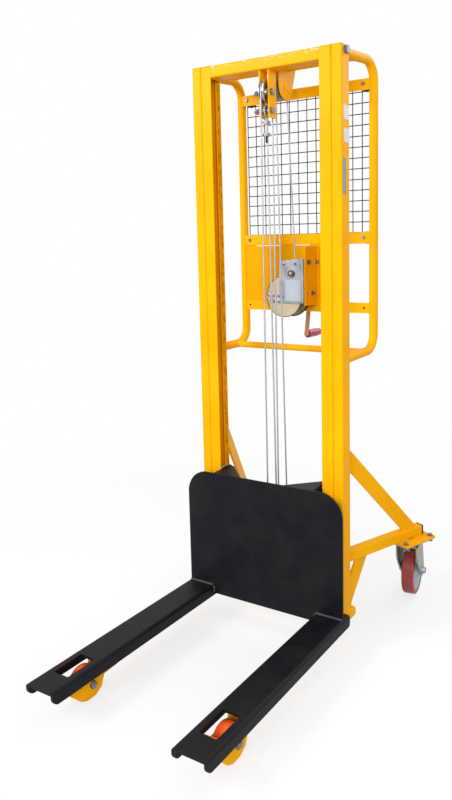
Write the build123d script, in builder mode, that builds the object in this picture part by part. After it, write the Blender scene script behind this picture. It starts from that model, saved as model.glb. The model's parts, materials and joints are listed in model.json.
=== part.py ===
import math
import os

from build123d import *

os.makedirs("parts", exist_ok=True)

# Driving dimensions in millimetres. Y is counted from the front face of the mast
# until MAST_Y moves it to the middle of the whole lift.
MAST_WIDTH = 625.0
MAST_TOP = 2103.0
POST_WIDTH = 40.0
POST_DEPTH = 60.0
POST_WALL = 3.0
POST_CORNER = 6.0
RAIL_WIDTH = 45.0
RAIL_WALL = 5.0
CAP_THICK = 3.0
BEAM_HEIGHT = 43.0

LEG_WIDTH = 56.0
LEG_CENTRE = MAST_WIDTH / 2 - LEG_WIDTH / 2
LEG_HEIGHT = 40.0
LEG_TOP = 102.0
LEG_FRONT = 615.0
LEG_REAR = 100.0
LEG_WALL = 4.0

ROLLER_RADIUS = 50.0
ROLLER_FRONT = 670.0
ROLLER_AXLE_RADIUS = 8.0
BRACKET_THICK = 6.0

FORK_SHIFT = 2.0
FORK_CENTRE = LEG_CENTRE + FORK_SHIFT
FORK_WIDTH = 119.0
FORK_TOP = 125.0
FORK_HEIGHT = 42.0
FORK_WALL = 10.0
FORK_TIP = 843.0
FORK_HEEL = 16.0
WINDOW_WIDTH = 61.0
WINDOW_FRONT = 763.0
WINDOW_REAR = 652.0

PLATE_WIDTH = 680.0
PLATE_TOP = 580.0
PLATE_BOTTOM = 91.0
PLATE_FRONT = 63.0
PLATE_THICK = 8.0
PLATE_CORNER = 90.0
SIDE_RUN = 7.5
SIDE_OUTER = MAST_WIDTH / 2 - POST_WIDTH - RAIL_WIDTH - SIDE_RUN
SIDE_THICK = 8.0
SIDE_REAR = 52.0
SIDE_BOTTOM = 115.0
GUSSET_INNER = 95.0

GUIDE_RADIUS = 24.0
GUIDE_WIDTH = 28.0
GUIDE_INSET = 20.5
GUIDE_CENTRE = MAST_WIDTH / 2 - POST_WIDTH - RAIL_WIDTH + GUIDE_INSET
GUIDE_UPPER = 558.0
GUIDE_LOWER = 150.0
GUIDE_PIN_RADIUS = 8.0

ROPE_RADIUS = 3.0
SHEAVE_PITCH = 38.0
SHEAVE_RIM = 43.0
PULLEY_PITCH = 31.0
PULLEY_RIM = 36.0
CHEEK_GAP = 32.0
CHEEK_THICK = 5.0
SHEAVE_PIN_RADIUS = 7.0
FRONT_SHEAVE_Y = 27.0
FRONT_SHEAVE_DROP = 117.0
FRONT_SHEAVE_Z = MAST_TOP - FRONT_SHEAVE_DROP
REAR_SHEAVE_Y = 127.0
REAR_SHEAVE_DROP = 83.0
REAR_SHEAVE_Z = MAST_TOP - REAR_SHEAVE_DROP
PULLEY_Z = 300.0
ANCHOR_Y = 26.0
ANCHOR_DROP = 181.0
ANCHOR_Z = MAST_TOP - ANCHOR_DROP
FALL_DROP = 303.0
FALL_TOP = MAST_TOP - FALL_DROP

PIPE_RADIUS = 16.85
PIPE_WALL = 3.0
HANDLE_BACK = 297.0
HANDLE_OVER = 9.0
HANDLE_TOP = MAST_TOP + HANDLE_OVER
HANDLE_BOTTOM = 1050.0
HANDLE_RISE = 26.0
HANDLE_TOP_START = HANDLE_TOP - HANDLE_RISE
HANDLE_BOTTOM_START = 1042.0
HANDLE_BEND = 65.0
TOP_BAR_Y = 145.0
TOP_BAR_RADIUS = 15.0
LOW_BAR_Y = 215.0
LOW_BAR_RADIUS = 12.5

STRIP_FRONT = 281.0
STRIP_THICK = 4.0
STRIP_HEIGHT = 40.0
MIDDLE_STRIP_Z = 1474.0
LOW_STRIP_Z = 1207.0
STRIP_HOLE_INSET = 49.5
STRIP_HOLE_X = MAST_WIDTH / 2 - STRIP_HOLE_INSET
STRIP_HOLE_RADIUS = 4.5
PANEL_THICK = 3.0
PANEL_RIGHT = 190.0
SLIT_HEIGHT = 3.0
MESH_PITCH = 40.0
MESH_WIRE = 4.0
MESH_BOTTOM = 1455.0
MESH_UNDER = 50.0
MESH_COLUMNS = int((MAST_WIDTH - 2 * PIPE_RADIUS) / MESH_PITCH)
MESH_ROWS = int((HANDLE_TOP - MESH_UNDER - MESH_BOTTOM) / MESH_PITCH)
PANEL_BOLT_X = (MESH_COLUMNS - 1) / 2 * MESH_PITCH
TOP_STRIP_Z = MESH_BOTTOM + (MESH_ROWS - 0.5) * MESH_PITCH - STRIP_HEIGHT * 0.05
PANEL_BOLT_RADIUS = 4.0

DRUM_X = -38.0
DRUM_Z = 1250.0
DRUM_CORE = 51.4
DRUM_FLANGE = 80.0
DRUM_FLANGE_THICK = 3.0
DRUM_PIN_RADIUS = 7.0
DRUM_FRONT = 188.0
DRUM_WIDTH = 52.0
LEAD_INSET = 7.0
WIND_PITCH = 6.7
WIND_LOOPS = 6
GEAR_MODULE = 3.0
GEAR_TEETH = 53
PINION_TEETH = 13
GEAR_WIDTH = 12.0
PINION_ANGLE = 65.7
WINCH_FRONT = 176.0
WINCH_REAR = 266.0
WINCH_PLATE = 4.0
WINCH_LEFT = -52.0
WINCH_RIGHT = 55.0
WINCH_BOTTOM = 1226.0
WINCH_TOP = 1397.0
BRACKET_RIGHT = 60.0
CRANK_PIN_RADIUS = 8.0
CRANK_Y = 336.0
CRANK_BAR = 17.0
CRANK_BAR_THICK = 6.0
CRANK_REACH = 254.0
CRANK_TILT = 6.3
GRIP_RADIUS = 15.0
GRIP_LENGTH = 105.0
GRIP_PIN_RADIUS = 5.0

SPLAY = 21.6
OUTRIGGER_INSET = 65.0
OUTRIGGER_X = MAST_WIDTH / 2 - OUTRIGGER_INSET
OUTRIGGER_SIZE = 40.0
OUTRIGGER_BOTTOM = 262.0
OUTRIGGER_LENGTH = 455.0
OUTRIGGER_WALL = 3.0
BRACE_TOP = 767.0
BRACE_FOOT = 435.0
BRACE_DEPTH = 57.0
FLAT_THICK = 10.0
FLAT_ROUND = 1.5
STAY_DEPTH = 70.0
STAY_FOOT = 57.0
STAY_ALONG = 133.0
PIVOT_ALONG = 404.0
CASTER_PLATE_LENGTH = 171.0
CASTER_PLATE_WIDTH = 134.0
CASTER_PLATE_THICK = 8.0
CASTER_BOLT_LENGTH = 143.0
CASTER_BOLT_WIDTH = 94.0
CASTER_TRAIL = 55.0
CASTER_YAW = 8.0
CASTER_ROOM = 13.0
CASTER_CHEEK = 6.0
WHEEL_RADIUS = 100.0
WHEEL_WIDTH = 50.0
TREAD_WIDTH = 38.0
HUB_RADIUS = 82.0
KINGPIN_RADIUS = 8.0
AXLE_RADIUS = 7.0

# Clearances
RUN_FIT = 0.06
PIN_FIT = 0.05
GAP = 0.4
SIDE_GAP = 1.0
ROPE_GAP = 0.4
WIND_GAP = 0.15
BACKLASH = 0.9

yaw = math.radians(CASTER_YAW)
splay = math.radians(SPLAY)
along_x = math.sin(splay)
along_y = math.cos(splay)
pivot_x = OUTRIGGER_X + PIVOT_ALONG * along_x
pivot_back = POST_DEPTH + PIVOT_ALONG * along_y
wheel_back = pivot_back + CASTER_TRAIL * math.cos(yaw)
rear_reach = wheel_back + WHEEL_RADIUS * math.cos(yaw) + TREAD_WIDTH / 2 * math.sin(yaw)
MAST_Y = (FORK_TIP - rear_reach) / 2

post_x = MAST_WIDTH / 2 - POST_WIDTH / 2
post_y = MAST_Y + POST_DEPTH / 2
rail_outer = MAST_WIDTH / 2 - POST_WIDTH
rail_inner = rail_outer - RAIL_WIDTH
mast_back = MAST_Y + POST_DEPTH
tube_top = MAST_TOP - CAP_THICK
leg_bottom = LEG_TOP - LEG_HEIGHT
fork_bottom = FORK_TOP - FORK_HEIGHT
fork_under = FORK_TOP - FORK_WALL
handle_x = MAST_WIDTH / 2 - PIPE_RADIUS
outrigger_top = OUTRIGGER_BOTTOM + OUTRIGGER_SIZE
plate_back = MAST_Y - PLATE_FRONT + PLATE_THICK
side_inner = SIDE_OUTER - SIDE_THICK
lead_y = MAST_Y + DRUM_FRONT + LEAD_INSET
wind_radius = DRUM_CORE + ROPE_RADIUS + WIND_GAP
lead_x = DRUM_X + wind_radius
cheek_in = CHEEK_GAP / 2
cheek_out = CHEEK_GAP / 2 + CHEEK_THICK


def save(block, label):
    block.part.label = label
    export_step(block.part, f"parts/{label}.step")


def box(x0, x1, y0, y1, z0, z1, mode=Mode.ADD):
    with Locations(((x0 + x1) / 2, (y0 + y1) / 2, (z0 + z1) / 2)):
        Box(x1 - x0, y1 - y0, z1 - z0, mode=mode)


def disc_x(y, z, radius, x0, x1, mode=Mode.ADD):
    with Locations(Location(((x0 + x1) / 2, y, z), (0, 90, 0))):
        Cylinder(radius, abs(x1 - x0), mode=mode)


def disc_y(x, z, radius, y0, y1, mode=Mode.ADD):
    with Locations(Location((x, (y0 + y1) / 2, z), (90, 0, 0))):
        Cylinder(radius, abs(y1 - y0), mode=mode)


def disc_z(x, y, radius, z0, z1, mode=Mode.ADD):
    with Locations((x, y, (z0 + z1) / 2)):
        Cylinder(radius, abs(z1 - z0), mode=mode)


def hex_x(y, z, flats, x0, x1):
    with BuildSketch(Plane.YZ.offset(min(x0, x1))) as face:
        with Locations((y, z)):
            RegularPolygon(flats / math.sqrt(3), 6)
    extrude(face.sketch, amount=abs(x1 - x0))


def hex_y(x, z, flats, y0, y1):
    with BuildSketch(Plane.XZ.offset(-max(y0, y1))) as face:
        with Locations((x, z)):
            RegularPolygon(flats / math.sqrt(3), 6)
    extrude(face.sketch, amount=abs(y1 - y0))


def hex_z(x, y, flats, z0, z1):
    with BuildSketch(Plane.XY.offset(min(z0, z1))) as face:
        with Locations((x, y)):
            RegularPolygon(flats / math.sqrt(3), 6)
    extrude(face.sketch, amount=abs(z1 - z0))


def outline_x(points, x0, x1, corner=0.0, mode=Mode.ADD):
    with BuildSketch(Plane.YZ.offset(min(x0, x1))) as face:
        with BuildLine():
            Polyline(*points, close=True)
        make_face()
        if corner:
            fillet(face.vertices(), corner)
    extrude(face.sketch, amount=abs(x1 - x0), mode=mode)


def outline_y(points, y0, y1, mode=Mode.ADD):
    with BuildSketch(Plane.XZ.offset(-max(y0, y1))) as face:
        with BuildLine():
            Polyline(*points, close=True)
        make_face()
    extrude(face.sketch, amount=abs(y1 - y0), mode=mode)


def square_tube(plane, width, depth, wall, corner, length):
    with BuildSketch(plane) as face:
        RectangleRounded(width, depth, corner)
        RectangleRounded(width - 2 * wall, depth - 2 * wall, max(corner - wall, 0.5), mode=Mode.SUBTRACT)
    extrude(face.sketch, amount=length)


def spun_x(y, z, profile):
    with BuildSketch(Plane(origin=(0, y, z), x_dir=(1, 0, 0), z_dir=(0, -1, 0))) as face:
        with BuildLine():
            Polyline(*profile, close=True)
        make_face()
    revolve(face.sketch, axis=Axis((0, y, z), (1, 0, 0)))


def spun_y(x, z, profile):
    with BuildSketch(Plane(origin=(x, 0, z), x_dir=(0, 1, 0), z_dir=(1, 0, 0))) as face:
        with BuildLine():
            Polyline(*profile, close=True)
        make_face()
    revolve(face.sketch, axis=Axis((x, 0, z), (0, 1, 0)))


def groove_profile(rim, pitch, half_hub, bore):
    floor = pitch - ROPE_RADIUS - ROPE_GAP
    half_floor = ROPE_RADIUS + ROPE_GAP
    half_rim = 9.0
    half_mouth = 7.0
    half_web = 5.0
    hub = bore + 8.0
    under = floor - 6.0
    right = [(half_floor, floor), (half_mouth, rim), (half_rim, rim), (half_rim, under), (half_web, under),
             (half_web, hub), (half_hub, hub), (half_hub, bore)]
    return right + [(-x, r) for x, r in reversed(right)]


def tooth_ring(teeth, start):
    pitch = teeth * GEAR_MODULE / 2
    tip = pitch + 0.85 * GEAR_MODULE
    root = pitch - 1.2 * GEAR_MODULE
    half = (math.pi * GEAR_MODULE / 2 - BACKLASH) / 2
    slope = math.tan(math.radians(21))
    half_tip = (half - (tip - pitch) * slope) / tip
    half_root = (half + (pitch - root) * slope) / root
    points = []
    for index in range(teeth):
        middle = start + 2 * math.pi * index / teeth
        for radius, turn in ((root, -half_root), (tip, -half_tip), (tip, half_tip), (root, half_root)):
            points.append((radius * math.cos(middle + turn), radius * math.sin(middle + turn)))
    return points


def splayed(side, along, across=0.0):
    x = OUTRIGGER_X + along * along_x + across * along_y
    y = mast_back + along * along_y - across * along_x
    return side * x, y


def splay_dir(side):
    return Vector(side * along_x, along_y, 0)


# Mast
with BuildPart() as left_post:
    with BuildSketch(Plane.XY.offset(LEG_TOP)):
        with Locations((-post_x, post_y)):
            RectangleRounded(POST_WIDTH, POST_DEPTH, POST_CORNER)
            RectangleRounded(POST_WIDTH - 2 * POST_WALL, POST_DEPTH - 2 * POST_WALL, POST_CORNER - POST_WALL,
                             mode=Mode.SUBTRACT)
    extrude(amount=tube_top - LEG_TOP)
save(left_post, "left_post")

with BuildPart() as right_post:
    add(left_post.part.mirror(Plane.YZ))
save(right_post, "right_post")

with BuildPart() as left_rail:
    with BuildSketch(Plane.XY.offset(LEG_TOP)) as rail_sketch:
        with Locations((-(rail_inner + rail_outer) / 2, post_y)):
            Rectangle(RAIL_WIDTH, POST_DEPTH)
        fillet(rail_sketch.vertices().group_by(Axis.X)[0], POST_CORNER)
        with Locations((-rail_inner - (RAIL_WIDTH - RAIL_WALL) / 2, post_y)):
            Rectangle(RAIL_WIDTH - RAIL_WALL, POST_DEPTH - 2 * RAIL_WALL, mode=Mode.SUBTRACT)
    extrude(amount=tube_top - LEG_TOP)
save(left_rail, "left_rail")

with BuildPart() as right_rail:
    add(left_rail.part.mirror(Plane.YZ))
save(right_rail, "right_rail")

with BuildPart() as mast_caps:
    for side in (-1, 1):
        with BuildSketch(Plane.XY.offset(tube_top)):
            with Locations((side * (rail_inner + MAST_WIDTH / 2) / 2, post_y)):
                RectangleRounded(MAST_WIDTH / 2 - rail_inner, POST_DEPTH, POST_CORNER)
        extrude(amount=CAP_THICK)
save(mast_caps, "mast_caps")

with BuildPart() as top_beam:
    beam_plane = Plane(origin=(-rail_inner, post_y, MAST_TOP - BEAM_HEIGHT / 2), x_dir=(0, 1, 0), z_dir=(1, 0, 0))
    square_tube(beam_plane, POST_DEPTH, BEAM_HEIGHT, POST_WALL, POST_CORNER, 2 * rail_inner)
save(top_beam, "top_beam")

# Base legs and their front rollers
with BuildPart() as left_leg:
    leg_plane = Plane(origin=(-LEG_CENTRE, MAST_Y - LEG_FRONT, LEG_TOP - LEG_HEIGHT / 2), x_dir=(-1, 0, 0),
                      z_dir=(0, 1, 0))
    square_tube(leg_plane, LEG_WIDTH, LEG_HEIGHT, LEG_WALL, 5.0, LEG_FRONT + LEG_REAR)
    rear_cut = [(MAST_Y + LEG_REAR + 1, LEG_TOP + 1), (MAST_Y + LEG_REAR - LEG_HEIGHT * 0.3, LEG_TOP + 1),
                (MAST_Y + LEG_REAR + 1, leg_bottom + LEG_HEIGHT * 0.6)]
    outline_x(rear_cut, -LEG_CENTRE - LEG_WIDTH, -LEG_CENTRE + LEG_WIDTH, mode=Mode.SUBTRACT)
save(left_leg, "left_leg")

with BuildPart() as right_leg:
    add(left_leg.part.mirror(Plane.YZ))
save(right_leg, "right_leg")

with BuildPart() as base_crossmember:
    cross_half = LEG_CENTRE - LEG_WIDTH / 2
    cross_plane = Plane(origin=(-cross_half, post_y, LEG_TOP - LEG_HEIGHT / 2), x_dir=(0, 1, 0), z_dir=(1, 0, 0))
    square_tube(cross_plane, POST_DEPTH, LEG_HEIGHT, LEG_WALL, 5.0, 2 * cross_half)
save(base_crossmember, "base_crossmember")

roller_y = MAST_Y - ROLLER_FRONT
with BuildPart() as roller_brackets:
    cheek_line = [(-88, 8), (-50, -31), (-26, -43), (10, -43), (36, -27), (50, 9), (110, 12), (110, 50), (52, 50),
                  (38, 24), (-48, 24), (-62, 48), (-88, 48)]
    for side in (-1, 1):
        for hand in (-1, 1):
            inner = side * LEG_CENTRE + hand * LEG_WIDTH / 2
            outline_x([(roller_y + y, ROLLER_RADIUS + z) for y, z in cheek_line], inner,
                      inner + hand * BRACKET_THICK, 4.0)
        box(side * LEG_CENTRE - LEG_WIDTH / 2, side * LEG_CENTRE + LEG_WIDTH / 2, roller_y - 68, roller_y - 62,
            ROLLER_RADIUS + 8, ROLLER_RADIUS + 48)
        disc_x(roller_y, ROLLER_RADIUS, ROLLER_AXLE_RADIUS + PIN_FIT, side * LEG_CENTRE - LEG_WIDTH,
               side * LEG_CENTRE + LEG_WIDTH, Mode.SUBTRACT)
save(roller_brackets, "roller_brackets")

roller_half = LEG_WIDTH / 2 - SIDE_GAP
roller_bore = ROLLER_AXLE_RADIUS + RUN_FIT
roller_profile = [(-roller_half, roller_bore), (-roller_half, 17), (-roller_half + 3, 19), (-roller_half + 3, 38),
                  (-roller_half, 40), (-roller_half, ROLLER_RADIUS - 4), (-roller_half + 4, ROLLER_RADIUS),
                  (roller_half - 4, ROLLER_RADIUS), (roller_half, ROLLER_RADIUS - 4), (roller_half, 40),
                  (roller_half - 3, 38), (roller_half - 3, 19), (roller_half, 17), (roller_half, roller_bore)]

with BuildPart() as left_roller:
    spun_x(roller_y, ROLLER_RADIUS, [(x - LEG_CENTRE, r) for x, r in roller_profile])
save(left_roller, "left_roller")

with BuildPart() as right_roller:
    spun_x(roller_y, ROLLER_RADIUS, [(x + LEG_CENTRE, r) for x, r in roller_profile])
save(right_roller, "right_roller")

with BuildPart() as fork_stops:
    for side in (-1, 1):
        for stop_y in (MAST_Y - 200, MAST_Y - 480):
            with BuildSketch(Plane.XY.offset(LEG_TOP)):
                with Locations((side * LEG_CENTRE, stop_y)):
                    RectangleRounded(LEG_WIDTH - 12, 60, 6)
            extrude(amount=fork_under - GAP - LEG_TOP)
save(fork_stops, "fork_stops")

# Outriggers, their braces and the caster plates
with BuildPart() as left_outrigger:
    start_x, start_y = splayed(-1, -40)
    arm_plane = Plane(origin=(start_x, start_y, OUTRIGGER_BOTTOM + OUTRIGGER_SIZE / 2),
                      x_dir=(along_y, along_x, 0), z_dir=splay_dir(-1))
    square_tube(arm_plane, OUTRIGGER_SIZE, OUTRIGGER_SIZE, OUTRIGGER_WALL, 4.0, OUTRIGGER_LENGTH + 40)
    box(-MAST_WIDTH, 0, MAST_Y - 200, mast_back, 0, MAST_TOP, Mode.SUBTRACT)
save(left_outrigger, "left_outrigger")

with BuildPart() as right_outrigger:
    add(left_outrigger.part.mirror(Plane.YZ))
save(right_outrigger, "right_outrigger")

with BuildPart() as outrigger_caps:
    for side in (-1, 1):
        cap_x, cap_y = splayed(side, OUTRIGGER_LENGTH)
        cap_plane = Plane(origin=(cap_x, cap_y, OUTRIGGER_BOTTOM + OUTRIGGER_SIZE / 2),
                          x_dir=(along_y, -side * along_x, 0), z_dir=splay_dir(side))
        with BuildSketch(cap_plane):
            RectangleRounded(OUTRIGGER_SIZE, OUTRIGGER_SIZE, 4.0)
        extrude(amount=4)
        with BuildSketch(cap_plane):
            RectangleRounded(OUTRIGGER_SIZE - 2 * OUTRIGGER_WALL - 0.4, OUTRIGGER_SIZE - 2 * OUTRIGGER_WALL - 0.4, 1.0)
        extrude(amount=-14)
save(outrigger_caps, "outrigger_caps")

brace_slope = math.atan2(BRACE_TOP - outrigger_top, BRACE_FOOT)
with BuildPart() as outrigger_braces:
    for side in (-1, 1):
        foot_x, foot_y = splayed(side, BRACE_FOOT)
        down = Vector(side * along_x * math.cos(brace_slope), along_y * math.cos(brace_slope), -math.sin(brace_slope))
        square_off = Vector(-side * along_x * math.sin(brace_slope), -along_y * math.sin(brace_slope),
                            -math.cos(brace_slope))
        middle = Vector(foot_x, foot_y, outrigger_top) + square_off * (BRACE_DEPTH / 2)
        length = BRACE_FOOT / math.cos(brace_slope)
        brace_plane = Plane(origin=middle - down * (length + 80), x_dir=square_off, z_dir=down)
        with BuildSketch(brace_plane):
            RectangleRounded(BRACE_DEPTH, FLAT_THICK, FLAT_ROUND)
        extrude(amount=length + 160)
    box(-MAST_WIDTH, MAST_WIDTH, MAST_Y - 300, mast_back, 0, MAST_TOP, Mode.SUBTRACT)
    box(-MAST_WIDTH, MAST_WIDTH, MAST_Y - 300, MAST_Y + 800, 0, outrigger_top, Mode.SUBTRACT)
save(outrigger_braces, "outrigger_braces")

with BuildPart() as base_stays:
    for side in (-1, 1):
        head_x, head_y = splayed(side, STAY_ALONG)
        foot = Vector(side * LEG_CENTRE, MAST_Y + STAY_FOOT, LEG_TOP)
        run = (Vector(head_x, head_y, OUTRIGGER_BOTTOM) - foot).normalized()
        stay_plane = Plane(origin=foot - run * 60, x_dir=Vector(0, 0, 1).cross(run), z_dir=run)
        with BuildSketch(stay_plane):
            RectangleRounded(FLAT_THICK, STAY_DEPTH, FLAT_ROUND)
        extrude(amount=360)
    box(-MAST_WIDTH, MAST_WIDTH, MAST_Y - 300, MAST_Y + 800, 0, LEG_TOP, Mode.SUBTRACT)
    box(-MAST_WIDTH, MAST_WIDTH, MAST_Y - 300, MAST_Y + 800, OUTRIGGER_BOTTOM, MAST_TOP, Mode.SUBTRACT)
    box(-MAST_WIDTH, MAST_WIDTH, MAST_Y - 300, mast_back, 0, MAST_TOP, Mode.SUBTRACT)
save(base_stays, "base_stays")

plate_floor = OUTRIGGER_BOTTOM - CASTER_PLATE_THICK
head_floor = plate_floor - 6.0
with BuildPart() as caster_plates:
    for side in (-1, 1):
        hole_x, hole_y = splayed(side, PIVOT_ALONG)
        with BuildSketch(Plane(origin=(hole_x, hole_y, plate_floor), x_dir=splay_dir(side), z_dir=(0, 0, 1))):
            RectangleRounded(CASTER_PLATE_LENGTH, CASTER_PLATE_WIDTH, 8)
            with GridLocations(CASTER_BOLT_LENGTH, CASTER_BOLT_WIDTH, 2, 2):
                Circle(6 + PIN_FIT, mode=Mode.SUBTRACT)
        extrude(amount=CASTER_PLATE_THICK)
save(caster_plates, "caster_plates")

with BuildPart() as caster_heads:
    for side in (-1, 1):
        hole_x, hole_y = splayed(side, PIVOT_ALONG)
        with BuildSketch(Plane(origin=(hole_x, hole_y, head_floor), x_dir=splay_dir(side), z_dir=(0, 0, 1))):
            RectangleRounded(CASTER_PLATE_LENGTH - 6, CASTER_PLATE_WIDTH - 14, 12)
            with GridLocations(CASTER_BOLT_LENGTH, CASTER_BOLT_WIDTH, 2, 2):
                Circle(6 + PIN_FIT, mode=Mode.SUBTRACT)
        extrude(amount=plate_floor - head_floor)
        disc_z(hole_x, hole_y, 46, head_floor - 9, head_floor)
        disc_z(hole_x, hole_y, KINGPIN_RADIUS, head_floor - 34, head_floor)
        hex_z(hole_x, hole_y, 24, head_floor - 46, head_floor - 34)
save(caster_heads, "caster_heads")

crown_top = head_floor - 9 - GAP
crown_floor = crown_top - 22
fork_in = WHEEL_WIDTH / 2 + CASTER_ROOM
fork_out = fork_in + CASTER_CHEEK
axle_bore = AXLE_RADIUS + RUN_FIT


def caster_axes(side):
    axle = Vector(math.cos(yaw), side * math.sin(yaw), 0)
    trail = Vector(-side * math.sin(yaw), math.cos(yaw), 0)
    hole_x, hole_y = splayed(side, PIVOT_ALONG)
    return axle, trail, Vector(hole_x, hole_y, 0)


def caster_fork(side):
    axle, trail, pivot = caster_axes(side)
    cheek = [(-52, crown_top), (46, crown_top), (56, crown_top - 34), (CASTER_TRAIL + 26, WHEEL_RADIUS + 6),
             (CASTER_TRAIL + 21, WHEEL_RADIUS - 16), (CASTER_TRAIL + 6, WHEEL_RADIUS - 25),
             (CASTER_TRAIL - 13, WHEEL_RADIUS - 21), (CASTER_TRAIL - 42, WHEEL_RADIUS + 8), (-22, crown_top - 92),
             (-46, crown_top - 58), (-54, crown_top - 26)]
    for hand in (-1, 1):
        first = fork_in if hand > 0 else -fork_out
        with BuildSketch(Plane(origin=pivot + axle * first, x_dir=trail, z_dir=axle)) as face:
            with BuildLine():
                Polyline(*cheek, close=True)
            make_face()
            fillet(face.vertices(), 5)
        extrude(face.sketch, amount=fork_out - fork_in)
    with BuildSketch(Plane(origin=pivot + Vector(0, 0, crown_top - 6), x_dir=axle, z_dir=(0, 0, 1))) as face:
        Rectangle(2 * fork_out, 92)
    extrude(face.sketch, amount=6)
    disc_z(pivot.X, pivot.Y, 34, crown_floor + 8, crown_top)
    disc_z(pivot.X, pivot.Y, KINGPIN_RADIUS + RUN_FIT, crown_floor - 60, crown_top + 1, Mode.SUBTRACT)
    centre = pivot + trail * CASTER_TRAIL + Vector(0, 0, WHEEL_RADIUS)
    with BuildSketch(Plane(origin=centre - axle * (fork_out + 13), x_dir=trail, z_dir=axle)) as face:
        Circle(AXLE_RADIUS)
    extrude(face.sketch, amount=2 * fork_out + 26)
    for first, last in ((-fork_out - 10, -fork_out), (fork_out, fork_out + 11)):
        with BuildSketch(Plane(origin=centre + axle * first, x_dir=trail, z_dir=axle)) as face:
            RegularPolygon(22 / math.sqrt(3), 6)
        extrude(face.sketch, amount=last - first)


def wheel_spin(side, profile):
    axle, trail, pivot = caster_axes(side)
    centre = pivot + trail * CASTER_TRAIL + Vector(0, 0, WHEEL_RADIUS)
    with BuildSketch(Plane(origin=centre, x_dir=axle, z_dir=axle.cross(Vector(0, 0, 1)))) as face:
        with BuildLine():
            Polyline(*profile, close=True)
        make_face()
    revolve(face.sketch, axis=Axis(centre, axle))


tread = TREAD_WIDTH / 2
wheel_half = WHEEL_WIDTH / 2
tyre_profile = [(-wheel_half + 2, HUB_RADIUS), (-wheel_half, HUB_RADIUS + 4), (-wheel_half, WHEEL_RADIUS - 5),
                (-tread, WHEEL_RADIUS), (tread, WHEEL_RADIUS), (wheel_half, WHEEL_RADIUS - 5),
                (wheel_half, HUB_RADIUS + 4), (wheel_half - 2, HUB_RADIUS)]
hub_face = fork_in - SIDE_GAP
hub_profile = [(-hub_face, axle_bore), (-hub_face, 19), (-wheel_half + 3, 30), (-wheel_half + 9, 36),
               (-wheel_half + 9, 64), (-wheel_half + 3, 70), (-wheel_half + 2, HUB_RADIUS),
               (wheel_half - 2, HUB_RADIUS), (wheel_half - 3, 70), (wheel_half - 9, 64), (wheel_half - 9, 36),
               (wheel_half - 3, 30), (hub_face, 19), (hub_face, axle_bore)]

with BuildPart() as left_caster_fork:
    caster_fork(-1)
save(left_caster_fork, "left_caster_fork")

with BuildPart() as right_caster_fork:
    caster_fork(1)
save(right_caster_fork, "right_caster_fork")

with BuildPart() as left_tyre:
    wheel_spin(-1, tyre_profile)
save(left_tyre, "left_tyre")

with BuildPart() as right_tyre:
    wheel_spin(1, tyre_profile)
save(right_tyre, "right_tyre")

with BuildPart() as left_hub:
    wheel_spin(-1, hub_profile)
save(left_hub, "left_hub")

with BuildPart() as right_hub:
    wheel_spin(1, hub_profile)
save(right_hub, "right_hub")

# Operator handles, guard and panel
top_rise = (HANDLE_TOP - HANDLE_TOP_START) / (HANDLE_BACK - POST_DEPTH)
low_rise = (HANDLE_BOTTOM - HANDLE_BOTTOM_START) / (HANDLE_BACK - POST_DEPTH)
top_bar_z = HANDLE_TOP_START + top_rise * (TOP_BAR_Y - POST_DEPTH)
low_bar_z = HANDLE_BOTTOM_START + low_rise * (LOW_BAR_Y - POST_DEPTH)
handle_line = [(mast_back - 12, HANDLE_TOP_START - 12 * top_rise), (MAST_Y + HANDLE_BACK, HANDLE_TOP),
               (MAST_Y + HANDLE_BACK, HANDLE_BOTTOM), (mast_back - 12, HANDLE_BOTTOM_START - 12 * low_rise)]


def handle_bow(x, hollow):
    with BuildLine(Plane.YZ.offset(x)) as bow:
        FilletPolyline(*handle_line, radius=HANDLE_BEND)
    with BuildSketch(Plane(origin=bow.line @ 0, z_dir=bow.line % 0)) as face:
        Circle(PIPE_RADIUS)
        if hollow:
            Circle(PIPE_RADIUS - PIPE_WALL, mode=Mode.SUBTRACT)
    sweep(face.sketch, path=bow.line)


with BuildPart() as left_handle:
    handle_bow(-handle_x, True)
    box(-MAST_WIDTH, MAST_WIDTH, MAST_Y - 100, mast_back, 0, MAST_TOP + 100, Mode.SUBTRACT)
save(left_handle, "left_handle")

with BuildPart() as right_handle:
    add(left_handle.part.mirror(Plane.YZ))
save(right_handle, "right_handle")

with BuildPart() as handle_cutter:
    handle_bow(-handle_x, False)
    handle_bow(handle_x, False)

with BuildPart() as handle_bars:
    disc_x(MAST_Y + TOP_BAR_Y, top_bar_z, TOP_BAR_RADIUS, -handle_x, handle_x)
    disc_x(MAST_Y + LOW_BAR_Y, low_bar_z, LOW_BAR_RADIUS, -handle_x, handle_x)
    disc_x(MAST_Y + TOP_BAR_Y, top_bar_z, TOP_BAR_RADIUS - PIPE_WALL, -handle_x, handle_x, Mode.SUBTRACT)
    disc_x(MAST_Y + LOW_BAR_Y, low_bar_z, LOW_BAR_RADIUS - PIPE_WALL, -handle_x, handle_x, Mode.SUBTRACT)
    add(handle_cutter.part, mode=Mode.SUBTRACT)
save(handle_bars, "handle_bars")

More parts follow.
